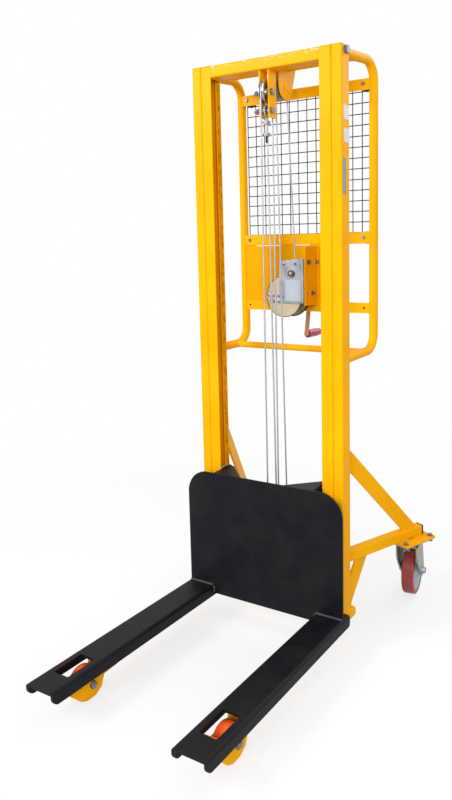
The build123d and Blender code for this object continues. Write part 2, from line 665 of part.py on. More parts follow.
strip_back = STRIP_FRONT + STRIP_THICK
mesh_front = HANDLE_BACK + PIPE_RADIUS
mesh_back = mesh_front + MESH_WIRE
bolt_bore = PANEL_BOLT_RADIUS + PIN_FIT
panel_bolt_z = [MESH_BOTTOM + MESH_PITCH / 2, MESH_BOTTOM + (MESH_ROWS - 0.5) * MESH_PITCH]
with BuildPart() as panel_strips:
    for strip_z in (TOP_STRIP_Z, MIDDLE_STRIP_Z, LOW_STRIP_Z):
        box(-handle_x, handle_x, MAST_Y + STRIP_FRONT, MAST_Y + strip_back, strip_z - STRIP_HEIGHT / 2,
            strip_z + STRIP_HEIGHT / 2)
    for side in (-1, 1):
        for bolt_z in panel_bolt_z:
            disc_y(side * PANEL_BOLT_X, bolt_z, bolt_bore, MAST_Y + STRIP_FRONT - 1, MAST_Y + strip_back + 1,
                   Mode.SUBTRACT)
        disc_y(side * STRIP_HOLE_X, LOW_STRIP_Z, STRIP_HOLE_RADIUS, MAST_Y + STRIP_FRONT - 1,
               MAST_Y + strip_back + 1, Mode.SUBTRACT)
    add(handle_cutter.part, mode=Mode.SUBTRACT)
save(panel_strips, "panel_strips")

pinion_x = DRUM_X + (GEAR_TEETH + PINION_TEETH) * GEAR_MODULE / 2 * math.cos(math.radians(PINION_ANGLE))
pinion_z = DRUM_Z + (GEAR_TEETH + PINION_TEETH) * GEAR_MODULE / 2 * math.sin(math.radians(PINION_ANGLE))
panel_back = strip_back + PANEL_THICK
with BuildPart() as winch_panel:
    box(-handle_x + 8, PANEL_RIGHT, MAST_Y + strip_back, MAST_Y + panel_back,
        LOW_STRIP_Z + STRIP_HOLE_RADIUS + 5, MIDDLE_STRIP_Z + STRIP_HEIGHT / 2 - 4)
    disc_y(pinion_x, pinion_z, 15, MAST_Y + strip_back - 1, MAST_Y + panel_back + 1, Mode.SUBTRACT)
    disc_y(-PANEL_BOLT_X, panel_bolt_z[0], bolt_bore, MAST_Y + strip_back - 1, MAST_Y + panel_back + 1,
           Mode.SUBTRACT)
    slit_top = MIDDLE_STRIP_Z - STRIP_HEIGHT / 2 - 1.5
    for slit_left, slit_right in ((63 - handle_x, 176 - handle_x), (WINCH_LEFT + 3, WINCH_RIGHT - 29)):
        box(slit_left, slit_right, MAST_Y + strip_back - 1, MAST_Y + panel_back + 1, slit_top - SLIT_HEIGHT, slit_top,
            Mode.SUBTRACT)
    add(handle_cutter.part, mode=Mode.SUBTRACT)
save(winch_panel, "winch_panel")

mesh_width = MESH_COLUMNS * MESH_PITCH
mesh_height = MESH_ROWS * MESH_PITCH
with BuildPart() as mesh_guard:
    with BuildSketch(Plane.XZ.offset(-MAST_Y - mesh_back)):
        with Locations((0, MESH_BOTTOM + mesh_height / 2)):
            Rectangle(mesh_width + MESH_WIRE, mesh_height + MESH_WIRE)
            with GridLocations(MESH_PITCH, MESH_PITCH, MESH_COLUMNS, MESH_ROWS):
                Rectangle(MESH_PITCH - MESH_WIRE, MESH_PITCH - MESH_WIRE, mode=Mode.SUBTRACT)
    extrude(amount=MESH_WIRE)
save(mesh_guard, "mesh_guard")

# Winch
drum_y = MAST_Y + DRUM_FRONT
drum_end = drum_y + DRUM_WIDTH
gear_back = drum_end + DRUM_FLANGE_THICK + GEAR_WIDTH
drum_bore = DRUM_PIN_RADIUS + RUN_FIT
with BuildPart() as winch_drum:
    spun_y(DRUM_X, DRUM_Z, [(drum_y - DRUM_FLANGE_THICK, drum_bore), (drum_y - DRUM_FLANGE_THICK, DRUM_FLANGE),
                            (drum_y, DRUM_FLANGE), (drum_y, DRUM_CORE), (drum_end, DRUM_CORE),
                            (drum_end, DRUM_FLANGE - 4), (drum_end + DRUM_FLANGE_THICK, DRUM_FLANGE - 4),
                            (drum_end + DRUM_FLANGE_THICK, drum_bore)])
save(winch_drum, "winch_drum")

gear_angle = math.radians(PINION_ANGLE)
with BuildPart() as drum_gear:
    with BuildSketch(Plane(origin=(DRUM_X, gear_back, DRUM_Z), x_dir=(1, 0, 0), z_dir=(0, -1, 0))):
        with BuildLine():
            Polyline(*tooth_ring(GEAR_TEETH, gear_angle + math.pi / GEAR_TEETH), close=True)
        make_face()
        Circle(drum_bore, mode=Mode.SUBTRACT)
        with PolarLocations(52, 4, 20):
            Circle(12, mode=Mode.SUBTRACT)
    extrude(amount=GEAR_WIDTH)
save(drum_gear, "drum_gear")

crank_front = MAST_Y + WINCH_FRONT - 3
crank_bore = CRANK_PIN_RADIUS + RUN_FIT
ratchet_front = MAST_Y + WINCH_REAR + 2
with BuildPart() as crank_shaft:
    disc_y(pinion_x, pinion_z, CRANK_PIN_RADIUS, crank_front, MAST_Y + CRANK_Y)
    with BuildSketch(Plane(origin=(pinion_x, gear_back + 1, pinion_z), x_dir=(1, 0, 0), z_dir=(0, -1, 0))):
        with BuildLine():
            Polyline(*tooth_ring(PINION_TEETH, gear_angle + math.pi), close=True)
        make_face()
    extrude(amount=GEAR_WIDTH + 2)
    saw = []
    for index in range(12):
        turn = 2 * math.pi * index / 12
        saw.append((26 * math.cos(turn), 26 * math.sin(turn)))
        saw.append((31 * math.cos(turn + 0.44), 31 * math.sin(turn + 0.44)))
    with BuildSketch(Plane(origin=(pinion_x, ratchet_front + 6, pinion_z), x_dir=(1, 0, 0), z_dir=(0, -1, 0))):
        with BuildLine():
            Polyline(*saw, close=True)
        make_face()
    extrude(amount=6)
    disc_y(pinion_x, pinion_z, 24, ratchet_front + 6, ratchet_front + 10)
    disc_y(pinion_x, pinion_z, 13, crank_front - 4, crank_front)
save(crank_shaft, "crank_shaft")

winch_bolts = [(WINCH_FRONT + 33, WINCH_TOP - 14), (WINCH_REAR - 26, WINCH_BOTTOM + 37)]
pawl_x = pinion_x - 34
pawl_z = pinion_z + 36
with BuildPart() as brake_pawl:
    with BuildSketch(Plane(origin=(pawl_x, ratchet_front + 6, pawl_z), x_dir=(1, 0, 0), z_dir=(0, -1, 0))):
        with BuildLine():
            Polyline((-7, -4), (2, -9), (20, -6.5), (27, -3.5), (24, 1), (6, 8), (-5, 7), close=True)
        make_face()
        Circle(4 + RUN_FIT, mode=Mode.SUBTRACT)
    extrude(amount=5)
save(brake_pawl, "brake_pawl")

with BuildPart() as winch_frame:
    with BuildSketch(Plane.XY.offset(WINCH_BOTTOM)) as frame_sketch:
        with Locations(((WINCH_LEFT + WINCH_RIGHT) / 2, MAST_Y + (WINCH_FRONT + WINCH_REAR) / 2)):
            Rectangle(WINCH_RIGHT - WINCH_LEFT, WINCH_REAR - WINCH_FRONT)
        fillet(frame_sketch.vertices().group_by(Axis.X)[-1], 8)
        with Locations(((WINCH_LEFT + WINCH_RIGHT - WINCH_PLATE) / 2, MAST_Y + (WINCH_FRONT + WINCH_REAR) / 2)):
            Rectangle(WINCH_RIGHT - WINCH_LEFT - WINCH_PLATE, WINCH_REAR - WINCH_FRONT - 2 * WINCH_PLATE,
                      mode=Mode.SUBTRACT)
    extrude(amount=WINCH_TOP - WINCH_BOTTOM)
    disc_y(DRUM_X, DRUM_Z, DRUM_PIN_RADIUS + PIN_FIT, crank_front, MAST_Y + WINCH_REAR + 5, Mode.SUBTRACT)
    disc_y(pinion_x, pinion_z, crank_bore, crank_front - 5, MAST_Y + WINCH_REAR + 5, Mode.SUBTRACT)
    disc_y(pawl_x, pawl_z, 4, MAST_Y + WINCH_REAR - 1, ratchet_front + 8)
    for bolt_y, bolt_z in winch_bolts:
        disc_x(MAST_Y + bolt_y, bolt_z, 4 + PIN_FIT, WINCH_RIGHT - 10, WINCH_RIGHT + 1, Mode.SUBTRACT)
save(winch_frame, "winch_frame")

with BuildPart() as winch_bracket:
    outline_x([(MAST_Y + WINCH_FRONT + 9, WINCH_BOTTOM - 10), (MAST_Y + STRIP_FRONT - GAP, WINCH_BOTTOM - 10),
               (MAST_Y + STRIP_FRONT - GAP, WINCH_BOTTOM + 2), (MAST_Y + strip_back, WINCH_BOTTOM + 2),
               (MAST_Y + strip_back, WINCH_TOP + 48),
               (MAST_Y + WINCH_FRONT + 24, WINCH_TOP + 48), (MAST_Y + WINCH_FRONT + 9, WINCH_TOP + 35)],
              WINCH_RIGHT, BRACKET_RIGHT)
    for bolt_y, bolt_z in winch_bolts:
        disc_x(MAST_Y + bolt_y, bolt_z, 4 + PIN_FIT, WINCH_RIGHT - 1, BRACKET_RIGHT + 1, Mode.SUBTRACT)
    with BuildSketch(Plane.YZ.offset(WINCH_RIGHT - 1)):
        with Locations((MAST_Y + WINCH_REAR + 2, WINCH_TOP - 11), (MAST_Y + WINCH_REAR, WINCH_BOTTOM + 37)):
            SlotOverall(20, 9)
    extrude(amount=BRACKET_RIGHT - WINCH_RIGHT + 2, mode=Mode.SUBTRACT)
save(winch_bracket, "winch_bracket")

crank_turn = math.radians(CRANK_TILT)
grip_x = pinion_x - CRANK_REACH * math.sin(crank_turn)
grip_z = pinion_z - CRANK_REACH * math.cos(crank_turn)
crank_back = MAST_Y + CRANK_Y + CRANK_BAR_THICK
grip_front = crank_back + 4
with BuildPart() as crank_arm:
    with BuildSketch(Plane(origin=((pinion_x + grip_x) / 2, crank_back, (pinion_z + grip_z) / 2),
                           x_dir=(math.sin(crank_turn), 0, math.cos(crank_turn)), z_dir=(0, -1, 0))):
        SlotCenterToCenter(CRANK_REACH, CRANK_BAR)
    extrude(amount=CRANK_BAR_THICK)
    hex_y(pinion_x, pinion_z, 19, crank_back, crank_back + 8)
    disc_y(grip_x, grip_z, GRIP_PIN_RADIUS, crank_back, grip_front + GRIP_LENGTH + GAP)
    disc_y(grip_x, grip_z, 9, grip_front + GRIP_LENGTH + GAP, grip_front + GRIP_LENGTH + 5)
    disc_y(grip_x, grip_z, 9, crank_back, grip_front - GAP)
save(crank_arm, "crank_arm")

with BuildPart() as crank_grip:
    spun_y(grip_x, grip_z, [(grip_front, GRIP_PIN_RADIUS + RUN_FIT), (grip_front, GRIP_RADIUS - 2),
                            (grip_front + 4, GRIP_RADIUS), (grip_front + 30, GRIP_RADIUS + 1),
                            (grip_front + GRIP_LENGTH - 5, GRIP_RADIUS - 1),
                            (grip_front + GRIP_LENGTH, GRIP_RADIUS - 4),
                            (grip_front + GRIP_LENGTH, GRIP_PIN_RADIUS + RUN_FIT)])
save(crank_grip, "crank_grip")

# Sheaves and their plates
with BuildPart() as sheave_plates:
    for side in (-1, 1):
        outline_x([(MAST_Y + 10, ANCHOR_Z - 25), (MAST_Y + 58, ANCHOR_Z - 25), (MAST_Y + 58, MAST_TOP - BEAM_HEIGHT),
                   (MAST_Y + 10, MAST_TOP - BEAM_HEIGHT)], side * cheek_in, side * cheek_out)
        rear_y = MAST_Y + REAR_SHEAVE_Y
        outline_x([(rear_y - 45, REAR_SHEAVE_Z), (rear_y + 45, REAR_SHEAVE_Z), (rear_y + 70, top_bar_z),
                   (rear_y - 45, top_bar_z)], side * cheek_in, side * cheek_out)
        disc_x(rear_y, REAR_SHEAVE_Z, 45, side * cheek_in, side * cheek_out)
    disc_x(MAST_Y + TOP_BAR_Y, top_bar_z, TOP_BAR_RADIUS, -50, 50, Mode.SUBTRACT)
    for pin_y, pin_z in ((FRONT_SHEAVE_Y, FRONT_SHEAVE_Z), (ANCHOR_Y, ANCHOR_Z), (REAR_SHEAVE_Y, REAR_SHEAVE_Z)):
        disc_x(MAST_Y + pin_y, pin_z, SHEAVE_PIN_RADIUS + PIN_FIT, -50, 50, Mode.SUBTRACT)
save(sheave_plates, "sheave_plates")

sheave_bore = SHEAVE_PIN_RADIUS + RUN_FIT
sheave_line = groove_profile(SHEAVE_RIM, SHEAVE_PITCH, cheek_in - SIDE_GAP, sheave_bore)
pulley_line = groove_profile(PULLEY_RIM, PULLEY_PITCH, cheek_in - SIDE_GAP, sheave_bore)
front_pulley_y = FRONT_SHEAVE_Y - SHEAVE_PITCH + PULLEY_PITCH
rear_pulley_y = FRONT_SHEAVE_Y + SHEAVE_PITCH + PULLEY_PITCH

with BuildPart() as front_sheave:
    spun_x(MAST_Y + FRONT_SHEAVE_Y, FRONT_SHEAVE_Z, sheave_line)
save(front_sheave, "front_sheave")

with BuildPart() as rear_sheave:
    spun_x(MAST_Y + REAR_SHEAVE_Y, REAR_SHEAVE_Z, sheave_line)
save(rear_sheave, "rear_sheave")

with BuildPart() as front_pulley:
    spun_x(MAST_Y + front_pulley_y, PULLEY_Z, pulley_line)
save(front_pulley, "front_pulley")

with BuildPart() as rear_pulley:
    spun_x(MAST_Y + rear_pulley_y, PULLEY_Z, pulley_line)
save(rear_pulley, "rear_pulley")

# Pins and bolts
rear_pin_y = MAST_Y + REAR_SHEAVE_Y
with BuildPart() as axle_bolts:
    for pin_y, pin_z in ((FRONT_SHEAVE_Y, FRONT_SHEAVE_Z), (ANCHOR_Y, ANCHOR_Z)):
        disc_x(MAST_Y + pin_y, pin_z, SHEAVE_PIN_RADIUS, -cheek_out - 14, cheek_out)
        hex_x(MAST_Y + pin_y, pin_z, 21, cheek_out, cheek_out + 8)
        hex_x(MAST_Y + pin_y, pin_z, 21, -cheek_out - 11, -cheek_out)
    disc_x(rear_pin_y, REAR_SHEAVE_Z, SHEAVE_PIN_RADIUS, -cheek_out, cheek_out)
    for side in (-1, 1):
        disc_x(rear_pin_y, REAR_SHEAVE_Z, 12, side * cheek_out, side * (cheek_out + 4))
    disc_y(DRUM_X, DRUM_Z, DRUM_PIN_RADIUS, MAST_Y + WINCH_FRONT - 1, MAST_Y + WINCH_REAR + 1)
    for side in (-1, 1):
        outer = LEG_WIDTH / 2 + BRACKET_THICK
        disc_x(roller_y, ROLLER_RADIUS, ROLLER_AXLE_RADIUS, side * LEG_CENTRE - outer - 10,
               side * LEG_CENTRE + outer + 10)
        hex_x(roller_y, ROLLER_RADIUS, 24, side * LEG_CENTRE - outer - 8, side * LEG_CENTRE - outer)
        hex_x(roller_y, ROLLER_RADIUS, 24, side * LEG_CENTRE + outer, side * LEG_CENTRE + outer + 8)
save(axle_bolts, "axle_bolts")

mast_bolt_z = MAST_TOP - 16
with BuildPart() as frame_bolts:
    for side in (-1, 1):
        for bolt_z in panel_bolt_z:
            x = side * PANEL_BOLT_X
            sleeve_front = panel_back if side < 0 and bolt_z < MIDDLE_STRIP_Z + STRIP_HEIGHT else strip_back
            hex_y(x, bolt_z, 13, MAST_Y + STRIP_FRONT - 6, MAST_Y + STRIP_FRONT)
            disc_y(x, bolt_z, PANEL_BOLT_RADIUS, MAST_Y + STRIP_FRONT, MAST_Y + mesh_back + 12)
            disc_y(x, bolt_z, 9, MAST_Y + sleeve_front, MAST_Y + mesh_front - 2)
            disc_y(x, bolt_z, 23, MAST_Y + mesh_front - 2, MAST_Y + mesh_front)
            disc_y(x, bolt_z, 23, MAST_Y + mesh_back, MAST_Y + mesh_back + 2)
            hex_y(x, bolt_z, 13, MAST_Y + mesh_back + 2, MAST_Y + mesh_back + 10)
        disc_x(post_y, mast_bolt_z, 15, side * MAST_WIDTH / 2, side * (MAST_WIDTH / 2 + 2))
        hex_x(post_y, mast_bolt_z, 24, side * (MAST_WIDTH / 2 + 2), side * (MAST_WIDTH / 2 + 12))
        for bolt_along in (-CASTER_BOLT_LENGTH / 2, CASTER_BOLT_LENGTH / 2):
            for bolt_across in (-CASTER_BOLT_WIDTH / 2, CASTER_BOLT_WIDTH / 2):
                x, y = splayed(side, PIVOT_ALONG + bolt_along, bolt_across)
                disc_z(x, y, 6, head_floor - 9, OUTRIGGER_BOTTOM)
                hex_z(x, y, 19, OUTRIGGER_BOTTOM, OUTRIGGER_BOTTOM + 8)
                hex_z(x, y, 19, head_floor - 8, head_floor)
    for bolt_y, bolt_z in winch_bolts:
        disc_x(MAST_Y + bolt_y, bolt_z, 4, WINCH_RIGHT - WINCH_PLATE, BRACKET_RIGHT + 9)
        disc_x(MAST_Y + bolt_y, bolt_z, 8, WINCH_RIGHT - WINCH_PLATE - 3, WINCH_RIGHT - WINCH_PLATE)
        disc_x(MAST_Y + bolt_y, bolt_z, 10, BRACKET_RIGHT, BRACKET_RIGHT + 2)
        hex_x(MAST_Y + bolt_y, bolt_z, 13, BRACKET_RIGHT + 2, BRACKET_RIGHT + 8)
save(frame_bolts, "frame_bolts")

# Carriage
notch = FORK_CENTRE - FORK_WIDTH / 2 - 0.5
seat = FORK_TOP - 1.0
with BuildPart() as back_plate:
    outline_y([(-PLATE_WIDTH / 2, seat), (-notch, seat), (-notch, PLATE_BOTTOM), (notch, PLATE_BOTTOM), (notch, seat),
               (PLATE_WIDTH / 2, seat), (PLATE_WIDTH / 2, PLATE_TOP), (-PLATE_WIDTH / 2, PLATE_TOP)],
              plate_back - PLATE_THICK, plate_back)
    corners = back_plate.edges().filter_by(Axis.Y).group_by(Axis.Z)[-1]
    fillet(corners, PLATE_CORNER)
save(back_plate, "back_plate")

with BuildPart() as left_fork:
    fork_left = -FORK_CENTRE - FORK_WIDTH / 2
    with BuildSketch(Plane.YZ.offset(fork_left)) as fork_side:
        with Locations((MAST_Y - (FORK_TIP + FORK_HEEL) / 2, FORK_TOP - FORK_HEIGHT / 2)):
            Rectangle(FORK_TIP - FORK_HEEL, FORK_HEIGHT)
        fillet(fork_side.vertices().group_by(Axis.X)[0].sort_by(Axis.Y)[0], 24)
        fillet(fork_side.vertices().group_by(Axis.X)[-1].sort_by(Axis.Y)[0], 10)
    extrude(amount=FORK_WIDTH)
    long_edges = left_fork.edges().filter_by(Axis.Y).group_by(Axis.Z)[-1]
    fillet(long_edges, 12)
    box(fork_left + FORK_WALL, fork_left + FORK_WIDTH - FORK_WALL, MAST_Y - FORK_TIP - 1, MAST_Y - FORK_HEEL + 1,
        fork_bottom - 1, fork_under, Mode.SUBTRACT)
    box(fork_left - 1, fork_left + FORK_WIDTH + 1, plate_back - PLATE_THICK - GAP, MAST_Y, seat, FORK_TOP + 1,
        Mode.SUBTRACT)
    with BuildSketch(Plane.XY.offset(fork_under - 1)):
        with Locations((-FORK_CENTRE, MAST_Y - (WINDOW_FRONT + WINDOW_REAR) / 2)):
            RectangleRounded(WINDOW_WIDTH, WINDOW_FRONT - WINDOW_REAR, 5)
    extrude(amount=FORK_WALL + 2, mode=Mode.SUBTRACT)
save(left_fork, "left_fork")

with BuildPart() as right_fork:
    add(left_fork.part.mirror(Plane.YZ))
save(right_fork, "right_fork")

side_top = GUIDE_UPPER + 26
with BuildPart() as carriage_brackets:
    for side in (-1, 1):
        outline_x([(plate_back, SIDE_BOTTOM), (MAST_Y + SIDE_REAR, SIDE_BOTTOM), (MAST_Y + SIDE_REAR, side_top),
                   (MAST_Y + 12, side_top), (MAST_Y - 10, PLATE_TOP), (plate_back, PLATE_TOP)],
                  side * side_inner, side * SIDE_OUTER)
        for pin_z in (GUIDE_UPPER, GUIDE_LOWER):
            disc_x(post_y, pin_z, GUIDE_PIN_RADIUS + PIN_FIT, side * (side_inner - 1), side * (SIDE_OUTER + 1),
                   Mode.SUBTRACT)
        for gusset_z in (PLATE_TOP - 8, SIDE_BOTTOM + 90):
            with BuildSketch(Plane.XY.offset(gusset_z)):
                with BuildLine():
                    Polyline((side * GUSSET_INNER, plate_back), (side * side_inner, plate_back),
                             (side * side_inner, MAST_Y + 50), (side * (side_inner - 12), MAST_Y + 50), close=True)
                make_face()
            extrude(amount=8)
save(carriage_brackets, "carriage_brackets")

with BuildPart() as pulley_cheeks:
    for side in (-1, 1):
        outline_x([(plate_back, PULLEY_Z - 90), (MAST_Y + front_pulley_y, PULLEY_Z - 34),
                   (MAST_Y + rear_pulley_y + 10, PULLEY_Z - 26), (MAST_Y + rear_pulley_y + 24, PULLEY_Z - 12),
                   (MAST_Y + rear_pulley_y + 24, PULLEY_Z + 12), (MAST_Y + rear_pulley_y + 10, PULLEY_Z + 26),
                   (MAST_Y + front_pulley_y, PULLEY_Z + 34), (plate_back, PULLEY_Z + 90)],
                  side * cheek_in, side * cheek_out)
    for pin_y in (front_pulley_y, rear_pulley_y):
        disc_x(MAST_Y + pin_y, PULLEY_Z, SHEAVE_PIN_RADIUS + PIN_FIT, -50, 50, Mode.SUBTRACT)
save(pulley_cheeks, "pulley_cheeks")

guide_in = GUIDE_CENTRE - GUIDE_WIDTH / 2
guide_out = GUIDE_CENTRE + GUIDE_WIDTH / 2
with BuildPart() as carriage_pins:
    for side in (-1, 1):
        for pin_z in (GUIDE_UPPER, GUIDE_LOWER):
            disc_x(post_y, pin_z, GUIDE_PIN_RADIUS, side * (side_inner - 6), side * (guide_out + 3))
            disc_x(post_y, pin_z, 12, side * (side_inner - 6), side * side_inner)
            disc_x(post_y, pin_z, 12, side * SIDE_OUTER, side * (guide_in - GAP))
            disc_x(post_y, pin_z, 11, side * (guide_out + GAP), side * (guide_out + 3))
    for pin_y in (front_pulley_y, rear_pulley_y):
        disc_x(MAST_Y + pin_y, PULLEY_Z, SHEAVE_PIN_RADIUS, -cheek_out - 12, cheek_out)
        hex_x(MAST_Y + pin_y, PULLEY_Z, 21, cheek_out, cheek_out + 8)
        hex_x(MAST_Y + pin_y, PULLEY_Z, 21, -cheek_out - 10, -cheek_out)
save(carriage_pins, "carriage_pins")

guide_bore = GUIDE_PIN_RADIUS + RUN_FIT
guide_line = [(guide_in, guide_bore), (guide_in, GUIDE_RADIUS - 2), (guide_in + 2, GUIDE_RADIUS),
              (guide_out - 2, GUIDE_RADIUS), (guide_out, GUIDE_RADIUS - 2), (guide_out, guide_bore)]

with BuildPart() as upper_guide_rollers:
    for side in (-1, 1):
        spun_x(post_y, GUIDE_UPPER, [(side * x, r) for x, r in guide_line])
save(upper_guide_rollers, "upper_guide_rollers")

with BuildPart() as lower_guide_rollers:
    for side in (-1, 1):
        spun_x(post_y, GUIDE_LOWER, [(side * x, r) for x, r in guide_line])
save(lower_guide_rollers, "lower_guide_rollers")

# Rope: four falls in the plane x = 0, the lead to the drum, the eye and the winding
line_a = MAST_Y + FRONT_SHEAVE_Y - SHEAVE_PITCH
line_c = MAST_Y + FRONT_SHEAVE_Y + SHEAVE_PITCH
line_b = MAST_Y + front_pulley_y + PULLEY_PITCH
line_d = MAST_Y + rear_pulley_y + PULLEY_PITCH
eye_y = MAST_Y + ANCHOR_Y + ROPE_RADIUS + 0.5
tail_y = MAST_Y + ANCHOR_Y - ROPE_RADIUS - 0.5
rear_y = MAST_Y + REAR_SHEAVE_Y


def tangent(from_y, from_z, hand):
    reach_y = rear_y - from_y
    reach_z = REAR_SHEAVE_Z - from_z
    reach = math.hypot(reach_y, reach_z)
    lean = math.atan2(reach_y, reach_z) + hand * math.asin(SHEAVE_PITCH / reach)
    length = math.sqrt(reach * reach - SHEAVE_PITCH * SHEAVE_PITCH)
    return from_y + length * math.sin(lean), from_z + length * math.cos(lean)


touch_d = tangent(line_d, PULLEY_Z, -1)
touch_e = tangent(lead_y, DRUM_Z, 1)
share_d = (FALL_TOP - PULLEY_Z) / (touch_d[1] - PULLEY_Z)
top_d = line_d + (touch_d[0] - line_d) * share_d
lead_rise = math.sqrt((wind_radius + ROPE_RADIUS + GAP) ** 2 - (wind_radius - ROPE_RADIUS - GAP) ** 2)
share_e = lead_rise / (touch_e[1] - DRUM_Z)
lead_end = (lead_x * (1 - share_e), lead_y + (touch_e[0] - lead_y) * share_e, DRUM_Z + lead_rise)

with BuildPart() as rope_top:
    with BuildLine(Plane.YZ) as over_front:
        Line((line_a, FALL_TOP), (line_a, FRONT_SHEAVE_Z))
        ThreePointArc((line_a, FRONT_SHEAVE_Z), (MAST_Y + FRONT_SHEAVE_Y, FRONT_SHEAVE_Z + SHEAVE_PITCH),
                      (line_c, FRONT_SHEAVE_Z))
        Line((line_c, FRONT_SHEAVE_Z), (line_c, FALL_TOP))
    with BuildSketch(Plane(origin=over_front.line @ 0, z_dir=over_front.line % 0)):
        Circle(ROPE_RADIUS)
    sweep(path=over_front.line)
    with BuildLine() as over_rear:
        Line((0, top_d, FALL_TOP), (0, *touch_d))
        ThreePointArc((0, *touch_d), (0, rear_y, REAR_SHEAVE_Z + SHEAVE_PITCH), (0, *touch_e))
        Line((0, *touch_e), lead_end)
    with BuildSketch(Plane(origin=over_rear.line @ 0, z_dir=over_rear.line % 0)):
        Circle(ROPE_RADIUS)
    sweep(path=over_rear.line)
    with BuildLine(Plane.YZ) as eye:
        FilletPolyline((eye_y, FALL_TOP), (eye_y, ANCHOR_Z - 30), (eye_y + 12.5, ANCHOR_Z - 5),
                       (eye_y + 12.5, ANCHOR_Z + 16), (tail_y - 12.5, ANCHOR_Z + 16), (tail_y - 12.5, ANCHOR_Z - 5),
                       (tail_y, ANCHOR_Z - 30), (tail_y, FALL_TOP + 12), radius=12)
    with BuildSketch(Plane(origin=eye.line @ 0, z_dir=eye.line % 0)):
        Circle(ROPE_RADIUS)
    sweep(path=eye.line)
save(rope_top, "rope_top")

with BuildPart() as rope_falls:
    for low, high in ((line_a, line_a), (line_b, eye_y), (line_c, line_c), (line_d, top_d)):
        with BuildSketch(Plane.XY.offset(PULLEY_Z)):
            with Locations((0, low)):
                Circle(ROPE_RADIUS)
        rise = FALL_TOP - GAP - PULLEY_Z
        extrude(amount=math.hypot(high - low, rise), dir=(0, high - low, rise))
save(rope_falls, "rope_falls")

with BuildPart() as rope_bottom:
    for middle in (MAST_Y + front_pulley_y, MAST_Y + rear_pulley_y):
        with BuildLine(Plane.YZ) as under:
            ThreePointArc((middle - PULLEY_PITCH, PULLEY_Z), (middle, PULLEY_Z - PULLEY_PITCH),
                          (middle + PULLEY_PITCH, PULLEY_Z))
        with BuildSketch(Plane(origin=under.line @ 0, z_dir=under.line % 0)):
            Circle(ROPE_RADIUS)
        sweep(path=under.line)
save(rope_bottom, "rope_bottom")

with BuildPart() as rope_fittings:
    disc_x(MAST_Y + ANCHOR_Y, ANCHOR_Z, 10, -cheek_in + GAP, cheek_in - GAP)
    disc_x(MAST_Y + ANCHOR_Y, ANCHOR_Z, SHEAVE_PIN_RADIUS + PIN_FIT, -50, 50, Mode.SUBTRACT)
    for clip_z in (ANCHOR_Z - 40, ANCHOR_Z - 82):
        box(-7, 8, tail_y - 7, eye_y + 7, clip_z - 6, clip_z + 6)
        for line_y in (tail_y, eye_y):
            disc_z(0, line_y, ROPE_RADIUS + PIN_FIT, clip_z - 7, clip_z + 7, Mode.SUBTRACT)
        for nut_y in (tail_y - 3, eye_y + 3):
            disc_x(nut_y, clip_z, 2.5, -15, -7)
            hex_x(nut_y, clip_z, 8, -12, -7)
save(rope_fittings, "rope_fittings")

wind_start = lead_y
wind_slope = WIND_PITCH / (2 * math.pi * wind_radius)


def wind_point(turn):
    return Vector(DRUM_X + wind_radius * math.cos(turn), wind_start + WIND_PITCH * turn / (2 * math.pi),
                  DRUM_Z - wind_radius * math.sin(turn))


def wind_heading(turn):
    return Vector(-math.sin(turn), wind_slope, -math.cos(turn)).normalized()


with BuildPart() as rope_winding:
    with BuildLine() as coil:
        first = wind_point(0)
        last = wind_point(2 * math.pi * WIND_LOOPS)
        Line(first - wind_heading(0) * 2 * ROPE_RADIUS, first)
        for quarter in range(4 * WIND_LOOPS):
            near = wind_point(quarter * math.pi / 2)
            far = wind_point((quarter + 1) * math.pi / 2)
            near_way = wind_heading(quarter * math.pi / 2)
            far_way = wind_heading((quarter + 1) * math.pi / 2)
            span = far - near
            ways = near_way + far_way
            square = ways.dot(ways) - 4
            half_line = span.dot(ways)
            reach = (half_line - math.sqrt(half_line * half_line - square * span.dot(span))) / square
            joint = (near + near_way * reach + far - far_way * reach) * 0.5
            TangentArc(near, joint, tangent=near_way)
            TangentArc(joint, far, tangent=far - far_way * reach - joint)
        Line(last, last + wind_heading(2 * math.pi * WIND_LOOPS) * 2 * ROPE_RADIUS)
    with BuildSketch(Plane(origin=coil.line @ 0, z_dir=coil.line % 0)):
        Circle(ROPE_RADIUS)
    sweep(path=coil.line)
save(rope_winding, "rope_winding")

samples = [coil.line @ (index / 960) for index in range(961)]
apart = 960 // (2 * WIND_LOOPS)
least = min((samples[i] - samples[j]).length for i in range(961) for j in range(i + apart, 961))
print(f"winding: {WIND_LOOPS} loops, least gap to itself {least - 2 * ROPE_RADIUS:.2f} mm")
print(f"mast front face at y = {MAST_Y:.3f} mm")
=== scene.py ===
import json
import math

import bpy
from mathutils import Matrix, Vector

